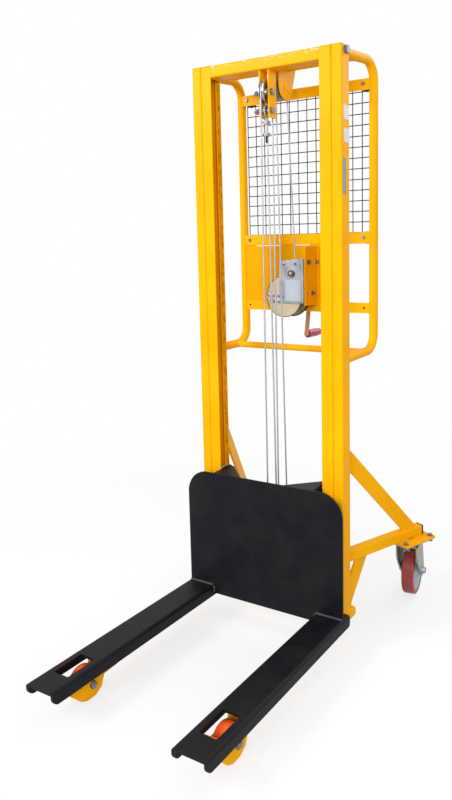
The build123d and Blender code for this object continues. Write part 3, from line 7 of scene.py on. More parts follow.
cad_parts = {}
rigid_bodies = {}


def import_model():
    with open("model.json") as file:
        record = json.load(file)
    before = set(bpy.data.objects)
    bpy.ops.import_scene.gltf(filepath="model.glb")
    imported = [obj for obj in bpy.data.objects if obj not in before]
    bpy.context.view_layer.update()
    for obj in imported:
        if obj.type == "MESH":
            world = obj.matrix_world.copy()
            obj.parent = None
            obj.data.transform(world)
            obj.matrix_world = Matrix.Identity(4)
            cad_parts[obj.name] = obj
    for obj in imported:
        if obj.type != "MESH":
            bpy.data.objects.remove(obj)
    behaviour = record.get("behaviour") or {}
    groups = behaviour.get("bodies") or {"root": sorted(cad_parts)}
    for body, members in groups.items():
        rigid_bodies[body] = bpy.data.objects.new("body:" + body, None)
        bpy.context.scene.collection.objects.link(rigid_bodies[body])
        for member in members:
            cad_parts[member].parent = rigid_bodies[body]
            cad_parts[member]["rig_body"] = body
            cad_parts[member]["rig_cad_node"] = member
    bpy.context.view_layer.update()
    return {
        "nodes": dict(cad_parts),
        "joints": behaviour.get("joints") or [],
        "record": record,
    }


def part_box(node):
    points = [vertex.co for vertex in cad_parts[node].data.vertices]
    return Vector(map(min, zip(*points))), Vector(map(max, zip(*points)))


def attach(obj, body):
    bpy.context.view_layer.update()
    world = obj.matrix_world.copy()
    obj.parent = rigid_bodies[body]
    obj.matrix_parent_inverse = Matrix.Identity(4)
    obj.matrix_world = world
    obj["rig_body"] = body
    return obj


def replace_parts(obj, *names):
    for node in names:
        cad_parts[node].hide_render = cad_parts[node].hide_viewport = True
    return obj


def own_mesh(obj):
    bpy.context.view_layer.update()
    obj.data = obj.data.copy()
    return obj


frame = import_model()
nodes = frame["nodes"]
bodies = frame["record"]["behaviour"]["bodies"]
bodyOf = {member: body for body, members in bodies.items() for member in members}
print("frame loaded:", len(nodes), "nodes")

mm = 0.001
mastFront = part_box("left_post")[0].y / mm  # y of the mast's front face, mm
rightward, leftward = (1, 0, 0), (-1, 0, 0)
forward, backward, upward = (0, -1, 0), (0, 1, 0), (0, 0, 1)


def at(x, y, z):  # mm, y counted back from the mast's front face
    return Vector((x * mm, (y + mastFront) * mm, z * mm))


def tone(red, green, blue):
    return (red, green, blue, 1)


# sockets that take part in sums, and the node trees that they grow in
class Value:
    def __init__(self, grower, socket):
        self.grower = grower
        self.socket = socket

    def sum(self, operation, first, second):
        return self.grower.add("ShaderNodeMath", {"operation": operation}, {0: first, 1: second})

    def __add__(self, other):
        return self.sum("ADD", self, other)

    def __radd__(self, other):
        return self.sum("ADD", other, self)

    def __sub__(self, other):
        return self.sum("SUBTRACT", self, other)

    def __mul__(self, other):
        return self.sum("MULTIPLY", self, other)

    def __rmul__(self, other):
        return self.sum("MULTIPLY", other, self)


class Grower:
    def __init__(self, owner):
        owner.use_nodes = True
        self.tree = owner.node_tree

    def add(self, kind, settings=None, inputs=None, output=0):
        made = self.tree.nodes.new(kind)
        for key, value in (settings or {}).items():
            setattr(made, key, value)
        for key, value in (inputs or {}).items():
            self.feed(made.inputs[key], value)
        return Value(self, made.outputs[output])

    def feed(self, socket, value):
        if isinstance(value, Value):
            self.tree.links.new(value.socket, socket)
        else:
            socket.default_value = value

    def span(self, value, start, end, first, last):  # from one level to another
        return self.add("ShaderNodeMapRange", None, {"Value": value, "From Min": start, "From Max": end,
                                                     "To Min": first, "To Max": last})

    def seenBy(self, *rays):  # 1 for rays of these kinds
        seen, *others = [self.add("ShaderNodeLightPath", output=ray) for ray in rays]
        for other in others:
            seen = seen.sum("MAXIMUM", seen, other)
        return seen


class Finish(Grower):
    def __init__(self, name, **plain):
        self.material = bpy.data.materials.new(name)
        super().__init__(self.material)
        self.shader = self.tree.nodes["Principled BSDF"]
        self.place = self.add("ShaderNodeTexCoord", output="Object")
        self.wear(**plain)

    def wear(self, **plain):  # sockets of the shader, spaces written as _
        for key, value in plain.items():
            self.feed(self.shader.inputs[key.replace("_", " ")], value)

    def along(self, axis):
        return self.add("ShaderNodeSeparateXYZ", None, {0: self.place}, axis)

    def size(self, value):  # without its sign
        return self.add("ShaderNodeMath", {"operation": "ABSOLUTE"}, {0: value})

    def stretched(self, x, y, z):
        return self.add("ShaderNodeMapping", None, {"Vector": self.place, "Scale": (x, y, z)})

    def grain(self, scale, detail=3, rough=0.55, where=None):
        return self.add("ShaderNodeTexNoise", None, {"Vector": where or self.place, "Scale": scale,
                                                     "Detail": detail, "Roughness": rough})

    def ramp(self, value, *stops):  # two stops of (position, level)
        made = self.add("ShaderNodeValToRGB", None, {"Fac": value})
        for element, (position, level) in zip(made.socket.node.color_ramp.elements, stops):
            element.position = position
            element.color = tone(level, level, level)
        return made

    def clouds(self, noise, start, end):  # 0 up to the start, 1 from the end on
        return self.ramp(noise, (start, 0), (end, 1))

    def mix(self, share, first, second):
        return self.add("ShaderNodeMix", {"data_type": "RGBA"}, {0: share, 6: first, 7: second}, 2)

    def bump(self, height, strength, depth):
        return self.add("ShaderNodeBump", None, {"Height": height, "Strength": strength, "Distance": depth})


yellowMarks = {"edge": (2.079, 2.097),  # z of the beam's chipped edge, m
               "middle": 0.2275, "half": 0.0135, "fade": 0.002,  # the guide rollers' track in the rails
               "depth": (mastFront + 30) * mm, "face": 0.025, "skin": (0.0003, 0.0009),
               # the seam between rail and post, darkened inwards with painted shade
               "seam": 0.25, "seamWidth": (0.001, 0.0055), "seamDepth": (0.0265, 0.0293)}


def paintYellow(name="yellowPaint", chipped=False, greasedAndShaded=False, shaded=False):
    v = yellowMarks
    # two marks below paint shade: the dark track inside the rails is grease specks and painted shade, and the seam
    # between rail and post gets painted shade
    look = {"bright": tone(0.93, 0.445, 0.003), "deep": tone(0.87, 0.385, 0.002), "scuff": tone(0.52, 0.26, 0.03),
            "chip": tone(0.80, 0.70, 0.48), "greaseAndShade": tone(0.13, 0.06, 0.005), "dirtAndShade": tone(0.22, 0.085, 0.002)}
    if shaded:  # painted shade, a darker copy of the yellow, on the winch's panel and bracket
        look.update(bright=tone(0.83, 0.365, 0.002), deep=tone(0.77, 0.32, 0.002))
    f = Finish(name, Specular_IOR_Level=0.03, Coat_Weight=0.01, Coat_Roughness=0.08)
    cloud = f.clouds(f.grain(3.5, 2), 0.35, 0.7)
    fine = f.grain(520, 2)
    marks = f.clouds(f.grain(60, 6, 0.7, f.stretched(1, 1, 0.25)), 0.66, 0.74)
    rare = f.clouds(f.grain(6, 1), 0.52, 0.62)
    base = f.mix(cloud, look["deep"], look["bright"])
    worn = marks * rare * 0.35
    base = f.mix(worn, base, look["scuff"])
    if chipped:  # flecks along the beam's upper edge
        edge = f.span(f.along("Z"), *v["edge"], 0, 1)
        flecks = f.clouds(f.grain(150, 5, 0.62, f.stretched(0.55, 1, 1)), 0.56, 0.59)
        runs = f.clouds(f.grain(9, 1), 0.30, 0.46)
        base = f.mix(flecks * runs * edge * 0.85, base, look["chip"])
    if greasedAndShaded:  # grease specks and painted shade on the track on the inner faces of the flanges, and painted shade in the seam between rail and post
        awayX = f.size(f.along("X"))
        awayY = f.size(f.along("Y") - v["depth"])
        onTrack = f.span(f.size(awayX - v["middle"]), v["half"], v["half"] + v["fade"], 1, 0)
        onFace = f.span(f.size(awayY - v["face"]), *v["skin"], 1, 0)
        specks = f.ramp(f.grain(130, 4, 0.6, f.stretched(1, 1, 0.4)), (0.42, 0.20), (0.66, 0.72))
        # the track darkens with grease specks and with painted shade inside the channel
        base = f.mix(onTrack * onFace * specks, base, look["greaseAndShade"])
        # painted shade in the seam between rail and post, darker deeper in
        inSeam = f.span(f.size(awayX - v["seam"]), *v["seamWidth"], 1, 0)
        below = f.span(awayY, *v["seamDepth"], 1, 0)
        base = f.mix(inSeam * below * 0.8, base, look["dirtAndShade"])
    f.wear(Base_Color=base, Roughness=0.30 + 0.10 * cloud + 0.25 * worn, Normal=f.bump(fine, 0.10, 0.0003))
    return f.material


def paintBlack(name="blackPaint", worn=False):
    look = {"coat": tone(0.0048, 0.0051, 0.0074), "dust": tone(0.019, 0.0185, 0.0185),
            "scratch": tone(0.10, 0.10, 0.10)}
    if worn:
        look = {"coat": tone(0.045, 0.045, 0.047), "dust": tone(0.13, 0.13, 0.13), "scratch": tone(0.26, 0.26, 0.26)}
    f = Finish(name, Specular_IOR_Level=0.13)
    cloud = f.clouds(f.grain(9, 4, 0.65), 0.40, 0.78)
    fine = f.grain(900, 2)
    lines = f.clouds(f.grain(55, 7, 0.75, f.stretched(1, 0.5, 9)), 0.685, 0.73)
    cross = f.clouds(f.grain(45, 7, 0.75, f.stretched(10, 0.5, 1.2)), 0.70, 0.74)
    patches = f.clouds(f.grain(5, 2), 0.42, 0.66)
    base = f.mix(cloud * 0.55, look["coat"], look["dust"])
    marks = (lines + cross) * patches * 0.7
    f.wear(Base_Color=f.mix(marks, base, look["scratch"]), Roughness=0.44 + 0.16 * cloud + 0.1 * marks,
           Normal=f.bump(fine, 0.12, 0.0003))
    return f.material


def platedZinc(name, light, dull, rough=0.32):
    f = Finish(name, Metallic=1)
    cloud = f.grain(26, 4, 0.6)
    brushed = f.grain(180, 3, 0.6, f.stretched(1, 1, 0.1))
    f.wear(Base_Color=f.mix(f.clouds(cloud, 0.3, 0.72), tone(*dull), tone(*light)),
           Roughness=rough + 0.18 * cloud, Normal=f.bump(brushed, 0.08, 0.0003))
    return f.material


def platedChromate():
    look = {"gold": tone(0.53, 0.40, 0.24), "green": tone(0.48, 0.47, 0.33), "rose": tone(0.56, 0.38, 0.33)}
    f = Finish("yellowChromate", Metallic=0.9)
    cloud = f.clouds(f.grain(34, 3), 0.3, 0.7)
    tint = f.clouds(f.grain(46, 2), 0.5, 0.72)
    base = f.mix(cloud, look["gold"], look["green"])
    f.wear(Base_Color=f.mix(tint * 0.75, base, look["rose"]), Roughness=0.36 + 0.14 * cloud,
           Normal=f.bump(f.grain(300, 3), 0.08, 0.0003))
    return f.material


def wireRope():
    look = {"wire": tone(0.37, 0.41, 0.43), "greaseAndShade": tone(0.24, 0.26, 0.27)}
    f = Finish("wireRope", Metallic=0.85)
    wires = f.add("ShaderNodeTexWave", {"wave_type": "BANDS", "bands_direction": "DIAGONAL"},
                  {"Vector": f.place, "Scale": 420, "Distortion": 1.5, "Detail": 2}, "Fac")
    dirtAndShade = f.clouds(f.grain(9, 4, 0.6), 0.45, 0.75)
    f.wear(Base_Color=f.mix(dirtAndShade * 0.5, look["wire"], look["greaseAndShade"]), Roughness=0.44 + 0.16 * dirtAndShade,
           Normal=f.bump(wires, 0.25, 0.0004))
    return f.material


def castRed():
    look = {"red": tone(0.42, 0.052, 0.034), "dark": tone(0.29, 0.037, 0.027), "dust": tone(0.42, 0.18, 0.14),
            "track": tone(0.150, 0.080, 0.068)}
    f = Finish("redTyre", Specular_IOR_Level=0.3)
    cloud = f.clouds(f.grain(16, 4), 0.35, 0.7)
    dust = f.clouds(f.grain(75, 6, 0.7), 0.60, 0.78)
    track = f.add("ShaderNodeAttribute", {"attribute_name": "track"}, None, "Fac")
    base = f.mix(dust * 0.5, f.mix(cloud, look["dark"], look["red"]), look["dust"])
    f.wear(Base_Color=f.mix(track * (0.65 + 0.35 * cloud), base, look["track"]), Roughness=0.42 + 0.2 * dust,
           Normal=f.bump(f.grain(500, 3), 0.15, 0.0004))
    return f.material


# two tones in clouds (scale, detail, start and end), over a fine grit (scale, detail, strength, depth)
def clouded(name, dark, light, cloud, rough, grit, **plain):
    f = Finish(name, **plain)
    mottle = f.grain(*cloud[:2])
    if len(cloud) > 2:
        mottle = f.clouds(mottle, *cloud[2:])
    f.wear(Base_Color=f.mix(mottle, tone(*dark), tone(*light)), Roughness=rough[0] + rough[1] * mottle,
           Normal=f.bump(f.grain(*grit[:2]), *grit[2:]))
    return f.material


def blankLabel(name, *colour):
    shade = [level * 0.92 for level in colour]
    return clouded(name, shade, colour, (60, 3), (0.34, 0.2), (900, 2, 0.06, 0.0002), Specular_IOR_Level=0.3)


finishes = {
    "yellow": paintYellow(),
    "chipped": paintYellow("chippedYellow", chipped=True),
    # grease and painted shade inside the rails, painted shade in the seam by the posts
    "greasedAndShaded": paintYellow("greasedAndShadedYellow", greasedAndShaded=True),
    # a darker yellow that is painted shade, for the winch's panel and bracket
    "shaded": paintYellow("paintedShadeYellow", shaded=True),
    "black_steel": paintBlack(),
    "wornBlack": paintBlack("wornBlack", worn=True),
    "zinc": platedZinc("zincPlate", (0.37, 0.39, 0.43), (0.22, 0.235, 0.26)),
    "darkZinc": platedZinc("darkZinc", (0.20, 0.21, 0.23), (0.095, 0.10, 0.11), 0.46),
    "midZinc": platedZinc("midZinc", (0.30, 0.31, 0.335), (0.15, 0.155, 0.17), 0.44),
    "brightSteel": platedZinc("brightSteel", (0.66, 0.67, 0.70), (0.36, 0.37, 0.39), 0.14),
    "oliveZinc": platedZinc("oliveZinc", (0.40, 0.42, 0.36), (0.26, 0.28, 0.23)),
    "chromate": platedChromate(),
    "rope": wireRope(),
    "red_tyre": castRed(),
    "bronzed": clouded("bronzedRod", (0.43, 0.235, 0.125), (0.50, 0.31, 0.19), (40, 3, 0.3, 0.7), (0.38, 0.14),
                       (300, 3, 0.08, 0.0003), Metallic=0.9),
    "blued": clouded("bluedSteel", (0.060, 0.050, 0.045), (0.15, 0.125, 0.105), (60, 4), (0.38, 0.2),
                     (500, 3, 0.1, 0.0003), Metallic=0.7),
    "orange": clouded("orangeRoller", (0.90, 0.095, 0.012), (1, 0.135, 0.018), (22, 4, 0.35, 0.7), (0.36, 0.16),
                      (420, 3, 0.12, 0.0004), Specular_IOR_Level=0.25),
    "white_nylon": clouded("greyNylon", (0.29, 0.335, 0.43), (0.42, 0.475, 0.60), (30, 4, 0.35, 0.72),
                           (0.36, 0.18), (600, 2, 0.10, 0.0003), Specular_IOR_Level=0.35),
    "rubber": clouded("blackRubber", (0.012, 0.012, 0.013), (0.040, 0.039, 0.038), (40, 4), (0.62, 0.2),
                      (700, 3, 0.2, 0.0004), Specular_IOR_Level=0.12),
    "black_plastic": clouded("blackPlastic", (0.012, 0.012, 0.013), (0.025, 0.025, 0.026), (50, 3), (0.40, 0.15),
                             (800, 2, 0.15, 0.0003), Specular_IOR_Level=0.10),
    "red_grip": clouded("redGrip", (0.27, 0.013, 0.028), (0.40, 0.024, 0.042), (40, 4), (0.30, 0.15),
                        (600, 2, 0.12, 0.0003), Specular_IOR_Level=0.4, Coat_Weight=0.15, Coat_Roughness=0.15),
    "label": blankLabel("whiteLabel", 0.64, 0.63, 0.63),
    "greyLabel": blankLabel("greyLabel", 0.27, 0.27, 0.26),
    "winchLabel": blankLabel("winchLabel", 0.43, 0.475, 0.55),
}
slotOf = {entry["node"]: entry["material_slot"] for entry in frame["record"]["subparts"]}
for nodeName, node in nodes.items():
    node.data.materials.clear()
    node.data.materials.append(finishes[slotOf[nodeName]])
print("finishes made:", len(finishes))


# working by hand in code
def closeEdit():
    bpy.ops.object.mode_set(mode="OBJECT")


def clearSelection():
    if bpy.context.mode != "OBJECT":
        closeEdit()
    bpy.ops.object.select_all(action="DESELECT")


def pick(*pieces):
    clearSelection()
    for piece in pieces:
        piece.select_set(True)
    bpy.context.view_layer.objects.active = pieces[0]
    return pieces[0]


def openAll(piece):  # edit mode, with everything selected
    pick(piece)
    bpy.ops.object.mode_set(mode="EDIT")
    bpy.ops.mesh.select_all(action="SELECT")


def facesOut():  # leaves edit mode with every face turned outwards
    bpy.ops.mesh.select_all(action="SELECT")
    bpy.ops.mesh.normals_make_consistent(inside=False)
    closeEdit()


def settle():
    bpy.ops.object.transform_apply(location=True, rotation=True, scale=True)


def modify(piece, kind, **settings):
    pick(piece)
    modifier = piece.modifiers.new(kind.lower(), kind)
    for key, value in settings.items():
        setattr(modifier, key, value)
    bpy.ops.object.modifier_apply(modifier=modifier.name)
    return piece


def bevelled(piece, width, angle, segments=2):  # mm, and the least turn of an edge in degrees
    return modify(piece, "BEVEL", width=width * mm, segments=segments, limit_method="ANGLE",
                  angle_limit=math.radians(angle))


def repeated(piece, count, step, merged=True):
    return modify(piece, "ARRAY", count=count, use_relative_offset=False, use_constant_offset=True,
                  constant_offset_displace=step, use_merge_vertices=merged, merge_threshold=0.00002)


def selectWhere(piece, mode, test):  # leaves the piece in edit mode
    pick(piece)
    bpy.ops.object.mode_set(mode="EDIT")
    bpy.ops.mesh.select_mode(type=mode)
    bpy.ops.mesh.select_all(action="DESELECT")
    closeEdit()
    if mode == "FACE":
        for face in piece.data.polygons:
            face.select = test(face.center, face.normal)
    else:
        for vertex in piece.data.vertices:
            vertex.select = test(vertex.co, vertex.index)
    bpy.ops.object.mode_set(mode="EDIT")


def joined(pieces):
    first = pick(*pieces)
    if len(pieces) > 1:
        bpy.ops.object.join()
    return first


def twin(piece):  # a copy with its own mesh
    other = piece.copy()
    other.data = piece.data.copy()
    bpy.context.scene.collection.objects.link(other)
    return other


def dress(piece, name, body, finish, smooth=35):
    pick(piece)
    settle()
    bpy.ops.object.shade_smooth_by_angle(angle=math.radians(smooth))
    modify(piece, "WEIGHTED_NORMAL", keep_sharp=True)  # flats stay flat beside rounded edges
    piece.name = name
    piece.data.name = name
    piece.data.materials.clear()
    piece.data.materials.append(finishes[finish])
    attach(piece, body)
    return piece


copied = {"same": 0.000004, "flat": 0.4, "bendSteps": 5, "corner": 32}  # m, degrees, count, degrees


def brokenEdges(name, width, cutters=(), fillers=(), bend=None):  # a copy of the CAD node with its edges broken
    copy = twin(nodes[name])
    copy.parent = None
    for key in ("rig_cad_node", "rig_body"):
        del copy[key]
    openAll(copy)
    bpy.ops.mesh.select_mode(type="VERT")
    bpy.ops.mesh.remove_doubles(threshold=copied["same"])
    bpy.ops.mesh.dissolve_limited(angle_limit=math.radians(copied["flat"]))
    closeEdit()
    if bend:  # (test for the vertices of the bent edges, radius)
        selectWhere(copy, "VERT", bend[0])
        bpy.ops.mesh.select_mode(use_extend=False, use_expand=False, type="EDGE")
        bpy.ops.mesh.bevel(offset=bend[1] * mm, segments=copied["bendSteps"], affect="EDGES")
        closeEdit()
    for tool in list(fillers) + list(cutters):
        modify(copy, "BOOLEAN", object=tool, operation="UNION" if tool in fillers else "DIFFERENCE", solver="EXACT")
        bpy.data.objects.remove(tool)
    return bevelled(copy, width, copied["corner"])


def softened(name, width, finish=None, cutters=(), fillers=(), bend=None):
    copy = brokenEdges(name, width, cutters, fillers, bend)
    dress(copy, name + "_finished", bodyOf[name], finish or slotOf[name])
    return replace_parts(copy, name)


def wireRing(places):  # a closed ring of edges through these places in mm, left in edit mode
    clearSelection()
    bpy.ops.mesh.primitive_circle_add(vertices=len(places), radius=0.01)
    piece = bpy.context.object
    for vertex, (x, z) in zip(piece.data.vertices, places):
        vertex.co = Vector((x * mm, 0, z * mm))
    bpy.ops.object.mode_set(mode="EDIT")
    bpy.ops.mesh.select_all(action="SELECT")
    return piece


def turned(profile, steps=64):  # closed ring of (along x, radius) in mm, spun round the x axis
    piece = wireRing(profile)
    bpy.ops.mesh.spin(steps=steps, angle=math.tau, center=(0, 0, 0), axis=rightward)
    bpy.ops.mesh.select_all(action="SELECT")
    bpy.ops.mesh.remove_doubles(threshold=0.00001)
    bpy.ops.mesh.delete_loose()
    facesOut()
    return piece


def plateOf(outline, thick, soft=0.15):  # outline of (x, z) in mm, thickness along y
    piece = wireRing(outline)
    bpy.ops.mesh.edge_face_add()
    bpy.ops.mesh.extrude_region_move(TRANSFORM_OT_translate={"value": (0, thick * mm, 0)})
    facesOut()
    if soft:
        bevelled(piece, soft, 60)
    return piece


def roundedOutline(width, height, radius, steps=5):
    points = []
    for quarter, (x, z) in enumerate(((1, 1), (-1, 1), (-1, -1), (1, -1))):
        for i in range(steps + 1):
            turn = math.pi / 2 * (quarter + i / steps)
            points.append((x * (width / 2 - radius) + radius * math.cos(turn),
                           z * (height / 2 - radius) + radius * math.sin(turn)))
    return points


def barAlong(sides, radius, length, ends="NGON"):  # along x from x = 0, in m
    clearSelection()
    bpy.ops.mesh.primitive_cylinder_add(vertices=sides, radius=radius, depth=length, end_fill_type=ends,
                                        rotation=(0, math.pi / 2, 0), location=(length / 2, 0, 0))
    settle()
    return bpy.context.object


hexEdges = {"chamfer": 0.08, "crown": 0.04, "round": 0.5, "least": 25}  # parts of the flats, mm, degrees


def hexHead(flats, height):  # stands on x = 0 and points along x
    v = hexEdges
    piece = barAlong(6, flats / math.sqrt(3) * mm, height * mm)
    selectWhere(piece, "FACE", lambda centre, normal: normal.x > 0.9)
    bpy.ops.mesh.inset(thickness=flats * v["chamfer"] * mm, depth=flats * v["crown"] * mm)
    closeEdit()
    return bevelled(piece, v["round"], v["least"])


def stand(piece, place, xWay, zWay=upward):  # puts a piece's x axis along xWay at place
    x = Vector(xWay).normalized()
    y = Vector(zWay).cross(x).normalized()
    z = x.cross(y)
    piece.matrix_world = Matrix.Translation(place) @ Matrix((x, y, z)).transposed().to_4x4()
    return piece


def layAlong(piece, points, closed=False):  # bends a piece that runs along x on to a line of points
    line = bpy.data.curves.new("guideLine", "CURVE")
    line.dimensions = "3D"
    spline = line.splines.new("POLY")
    spline.points.add(len(points) - 1)
    for point, place in zip(spline.points, points):
        point.co = (*place, 1)
    spline.use_cyclic_u = closed
    guide = bpy.data.objects.new("guideLine", line)
    bpy.context.scene.collection.objects.link(guide)
    modify(piece, "CURVE", object=guide, deform_axis="POS_X")
    bpy.data.objects.remove(guide)
    return piece


def pathLength(points, closed=False):
    ends = points[1:] + (points[:1] if closed else [])
    return sum((b - a).length for a, b in zip(points, ends))


def closeEnds(piece, length, near, drawn=None):
    for end in (0, length):
        selectWhere(piece, "VERT", lambda co, index: abs(co.x - end) < near)
        if drawn:
            bpy.ops.transform.resize(value=(1, drawn, drawn))
        bpy.ops.mesh.edge_face_add()
        closeEdit()


# weld beads: one ripple, repeated and closed at both ends
weld = {"ripple": 3.4, "sides": 10, "swell": 1.16, "lean": 0.12, "drawn": 0.55}


def weldBead(points, radius, closed=False):
    v = weld
    length = pathLength(points, closed)
    count = max(3, round(length / (v["ripple"] * mm)))
    pitch = length / count
    bead = barAlong(v["sides"], radius * mm, pitch, "NOTHING")
    openAll(bead)
    bpy.ops.mesh.subdivide(number_cuts=1)
    selectWhere(bead, "VERT", lambda co, index: abs(co.x - pitch / 2) < pitch * 0.1)
    bpy.ops.transform.resize(value=(1, v["swell"], v["swell"]))
    bpy.ops.transform.translate(value=(pitch * v["lean"], 0, 0))
    openAll(bead)
    bpy.ops.mesh.remove_doubles(threshold=0.000001)
    closeEdit()
    repeated(bead, count, (pitch, 0, 0))
    if not closed:
        closeEnds(bead, length, pitch * 0.05, v["drawn"])
    layAlong(bead, points, closed)
    openAll(bead)
    if closed:
        bpy.ops.mesh.remove_doubles(threshold=0.00005)
    facesOut()
    return bead


splay = {"angle": 21.6, "x": 247.5, "y": 60}  # where the outriggers leave the mast


def splayed(side, along, across, z):  # along an outrigger and across it
    turn = math.radians(splay["angle"])
    return at(side * (splay["x"] + along * math.sin(turn) + across * math.cos(turn)),
              splay["y"] + along * math.cos(turn) - across * math.sin(turn), z)


# CAD pieces with broken edges: widths in mm, and a finish where it isn't the slot's own
edges = {
    "back_plate": 1.4, "left_fork": 1.2, "right_fork": 1.2, "carriage_brackets": 0.8, "pulley_cheeks": 0.7,
    "mast_caps": 0.7, "left_leg": 0.4, "right_leg": 0.4, "base_crossmember": 0.4, "roller_brackets": 0.8,
    "outrigger_braces": 0.4, "base_stays": 0.4, "caster_plates": 0.9, "left_handle": 0.3, "right_handle": 0.3,
    "handle_bars": 0.3, "panel_strips": 0.5, "sheave_plates": 0.7, "carriage_pins": 0.6, "fork_stops": 1.2,
    "brake_pawl": 0.4, "winch_drum": 0.5, "rear_sheave": 0.5, "front_pulley": 0.5, "rear_pulley": 0.5,
    "upper_guide_rollers": 0.5, "lower_guide_rollers": 0.5, "left_roller": 0.8, "right_roller": 0.8,
}
otherFinish = {
    # the winch panel's darker yellow is painted shade
    "top_beam": (0.5, "chipped"), "winch_panel": (0.4, "shaded"), "crank_arm": (1.2, "bronzed"),
    "crank_shaft": (0.4, "blued"), "rope_fittings": (0.4, "midZinc"), "frame_bolts": (0.6, "midZinc"),
    # the posts take painted shade in their seam beside the rails
    "front_sheave": (0.5, "brightSteel"), "left_post": (0.4, "greasedAndShaded"), "right_post": (0.4, "greasedAndShaded"),
    # the drum gear's dark blued finish is painted shade
    "drum_gear": (0.25, "blued"), "caster_heads": (0.8, "oliveZinc"), "left_caster_fork": (0.8, "oliveZinc"),
    "right_caster_fork": (0.8, "oliveZinc"),
}
railEdges = {"width": 0.8, "corner": 0.25, "near": 0.0005, "bend": 4.5}  # mm, m, m, mm
for nodeName, width in edges.items():
    softened(nodeName, width)
for nodeName, (width, finish) in otherFinish.items():
    softened(nodeName, width, finish)
# the rails take grease specks and painted shade inside the channel, and painted shade in the seam by the post
for nodeName in ("left_rail", "right_rail"):  # folded from sheet, so the corners by the post are round
    softened(nodeName, railEdges["width"], "greasedAndShaded",
             bend=(lambda co, index: abs(abs(co.x) - railEdges["corner"]) < railEdges["near"], railEdges["bend"]))
print("edges broken on", len(edges) + len(otherFinish) + 2, "pieces")

axles = {"edge": 0.7, "behind": 80, "above": 1900}


def sheavePins():  # the rear sheave's pin is painted over, the others are plated
    bolts = brokenEdges("axle_bolts", axles["edge"])
    limit = at(0, axles["behind"], axles["above"])
    selectWhere(bolts, "VERT", lambda co, index: co.y > limit.y and co.z > limit.z)
    bpy.ops.mesh.separate(type="SELECTED")
    closeEdit()
    painted = [piece for piece in bpy.context.selected_objects if piece is not bolts][0]
    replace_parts(dress(bolts, "axle_bolts_finished", "chassis", "midZinc"), "axle_bolts")
    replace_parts(dress(painted, "rearSheavePin", "chassis", "yellow"), "axle_bolts")


sheavePins()

boltEnds = {"start": -34, "places": ((27, 1986), (26, 1922)), "nut": (17, 9), "radius": 5,
            "length": 17, "pitch": 1.8, "thread": 0.7, "chamfer": 0.9}


def longBolts():
    v = boltEnds
    rod = [(0, 0), (0, v["radius"])]
    for i in range(1, int(v["length"] / v["pitch"])):
        rod += [((i - 0.5) * v["pitch"], v["radius"] - v["thread"]), (i * v["pitch"], v["radius"])]
    rod += [(v["length"], v["radius"] - v["chamfer"]), (v["length"], 0)]
    ends = []
    for place in v["places"]:
        ends.append(stand(turned(rod, 32), at(v["start"], *place), leftward))
        ends.append(stand(hexHead(*v["nut"]), at(v["start"] - 1, *place), leftward))
    dress(joined(ends), "lockNuts", "chassis", "midZinc")


longBolts()


def discProfile(radius, height):  # a round head, from its seat to its crown
    return [(0, 0), (0, radius), (height * 0.35, radius), (height * 0.75, radius * 0.8), (height, radius * 0.6),
            (height * 1.05, 0)]


def washerProfile(bore, radius, height):
    return [(0, bore), (0, radius), (height * 0.7, radius), (height, radius - 0.4), (height, bore)]


def ringProfile(radius, thick, sides=12):
    return [(thick + thick * math.cos(math.tau * i / sides), radius + thick * math.sin(math.tau * i / sides))
            for i in range(sides)]


# winch: pierced face plate with a falling top, slotted bracket, stud, blank label, shaft end, bolt
winch = {"front": 176, "hole": (21.6, 1375.3), "holeRadius": 5.6, "drill": 6, "topFall": 9, "topShift": 5,
         "topWaste": (0.3, 20), "topCut": (10, 120), "plateEdge": 0.6,
         "bracket": (55, 60), "bracketEdge": 0.7, "plugs": ((268, 1386), (266, 1263)),
         "plugSize": (21, 10, 4.6), "slots": ((232, 1384), (205, 1261), (269, 1265)),
         "slotSize": (9, 21, 4.4), "slotCut": (8, 20),
         "stud": (-30.2, 1378.9), "studSize": (7.6, 3.8), "label": (9, 1275.5), "labelSize": (70, 83, 3),
         "labelThick": 0.4, "collar": 169, "tipSize": (4.6, 1.2),
         "bolt": (272, 1384), "boltHead": (13, 6), "washer": (4, 9.5, 1.9)}


def onWinch(place):  # on the front of the face plate
    return at(place[0], winch["front"], place[1])


def winchPlate():
    v = winch
    reach, radius = v["drill"], v["holeRadius"]
    drill = turned([(-reach, 0), (reach, 0), (reach, radius), (-reach, radius)], 24)
    stand(drill, onWinch(v["hole"]), backward)
    low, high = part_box("winch_frame")
    left, right, top = low.x / mm - v["topShift"], high.x / mm - v["topShift"], high.z / mm
    over, waste = v["topWaste"]
    ahead, depth = v["topCut"]
    wedge = plateOf([(left, top - v["topFall"]), (right, top + over), (right, top + waste), (left, top + waste)],
                    depth, 0)
    stand(wedge, at(0, v["front"] - ahead, 0), rightward)
    softened("winch_frame", v["plateEdge"], cutters=[drill, wedge])


def winchBracket():
    v = winch
    inner, outer = v["bracket"]
    before, depth = v["slotCut"]
    plugs = [stand(plateOf(roundedOutline(*v["plugSize"]), outer - inner, 0), at(inner, *place), forward)
             for place in v["plugs"]]
    slots = [stand(plateOf(roundedOutline(*v["slotSize"]), depth, 0), at(inner - before, *place), forward)
             for place in v["slots"]]
    # the bracket's darker yellow is painted shade
    softened("winch_bracket", v["bracketEdge"], "shaded", cutters=slots, fillers=plugs)


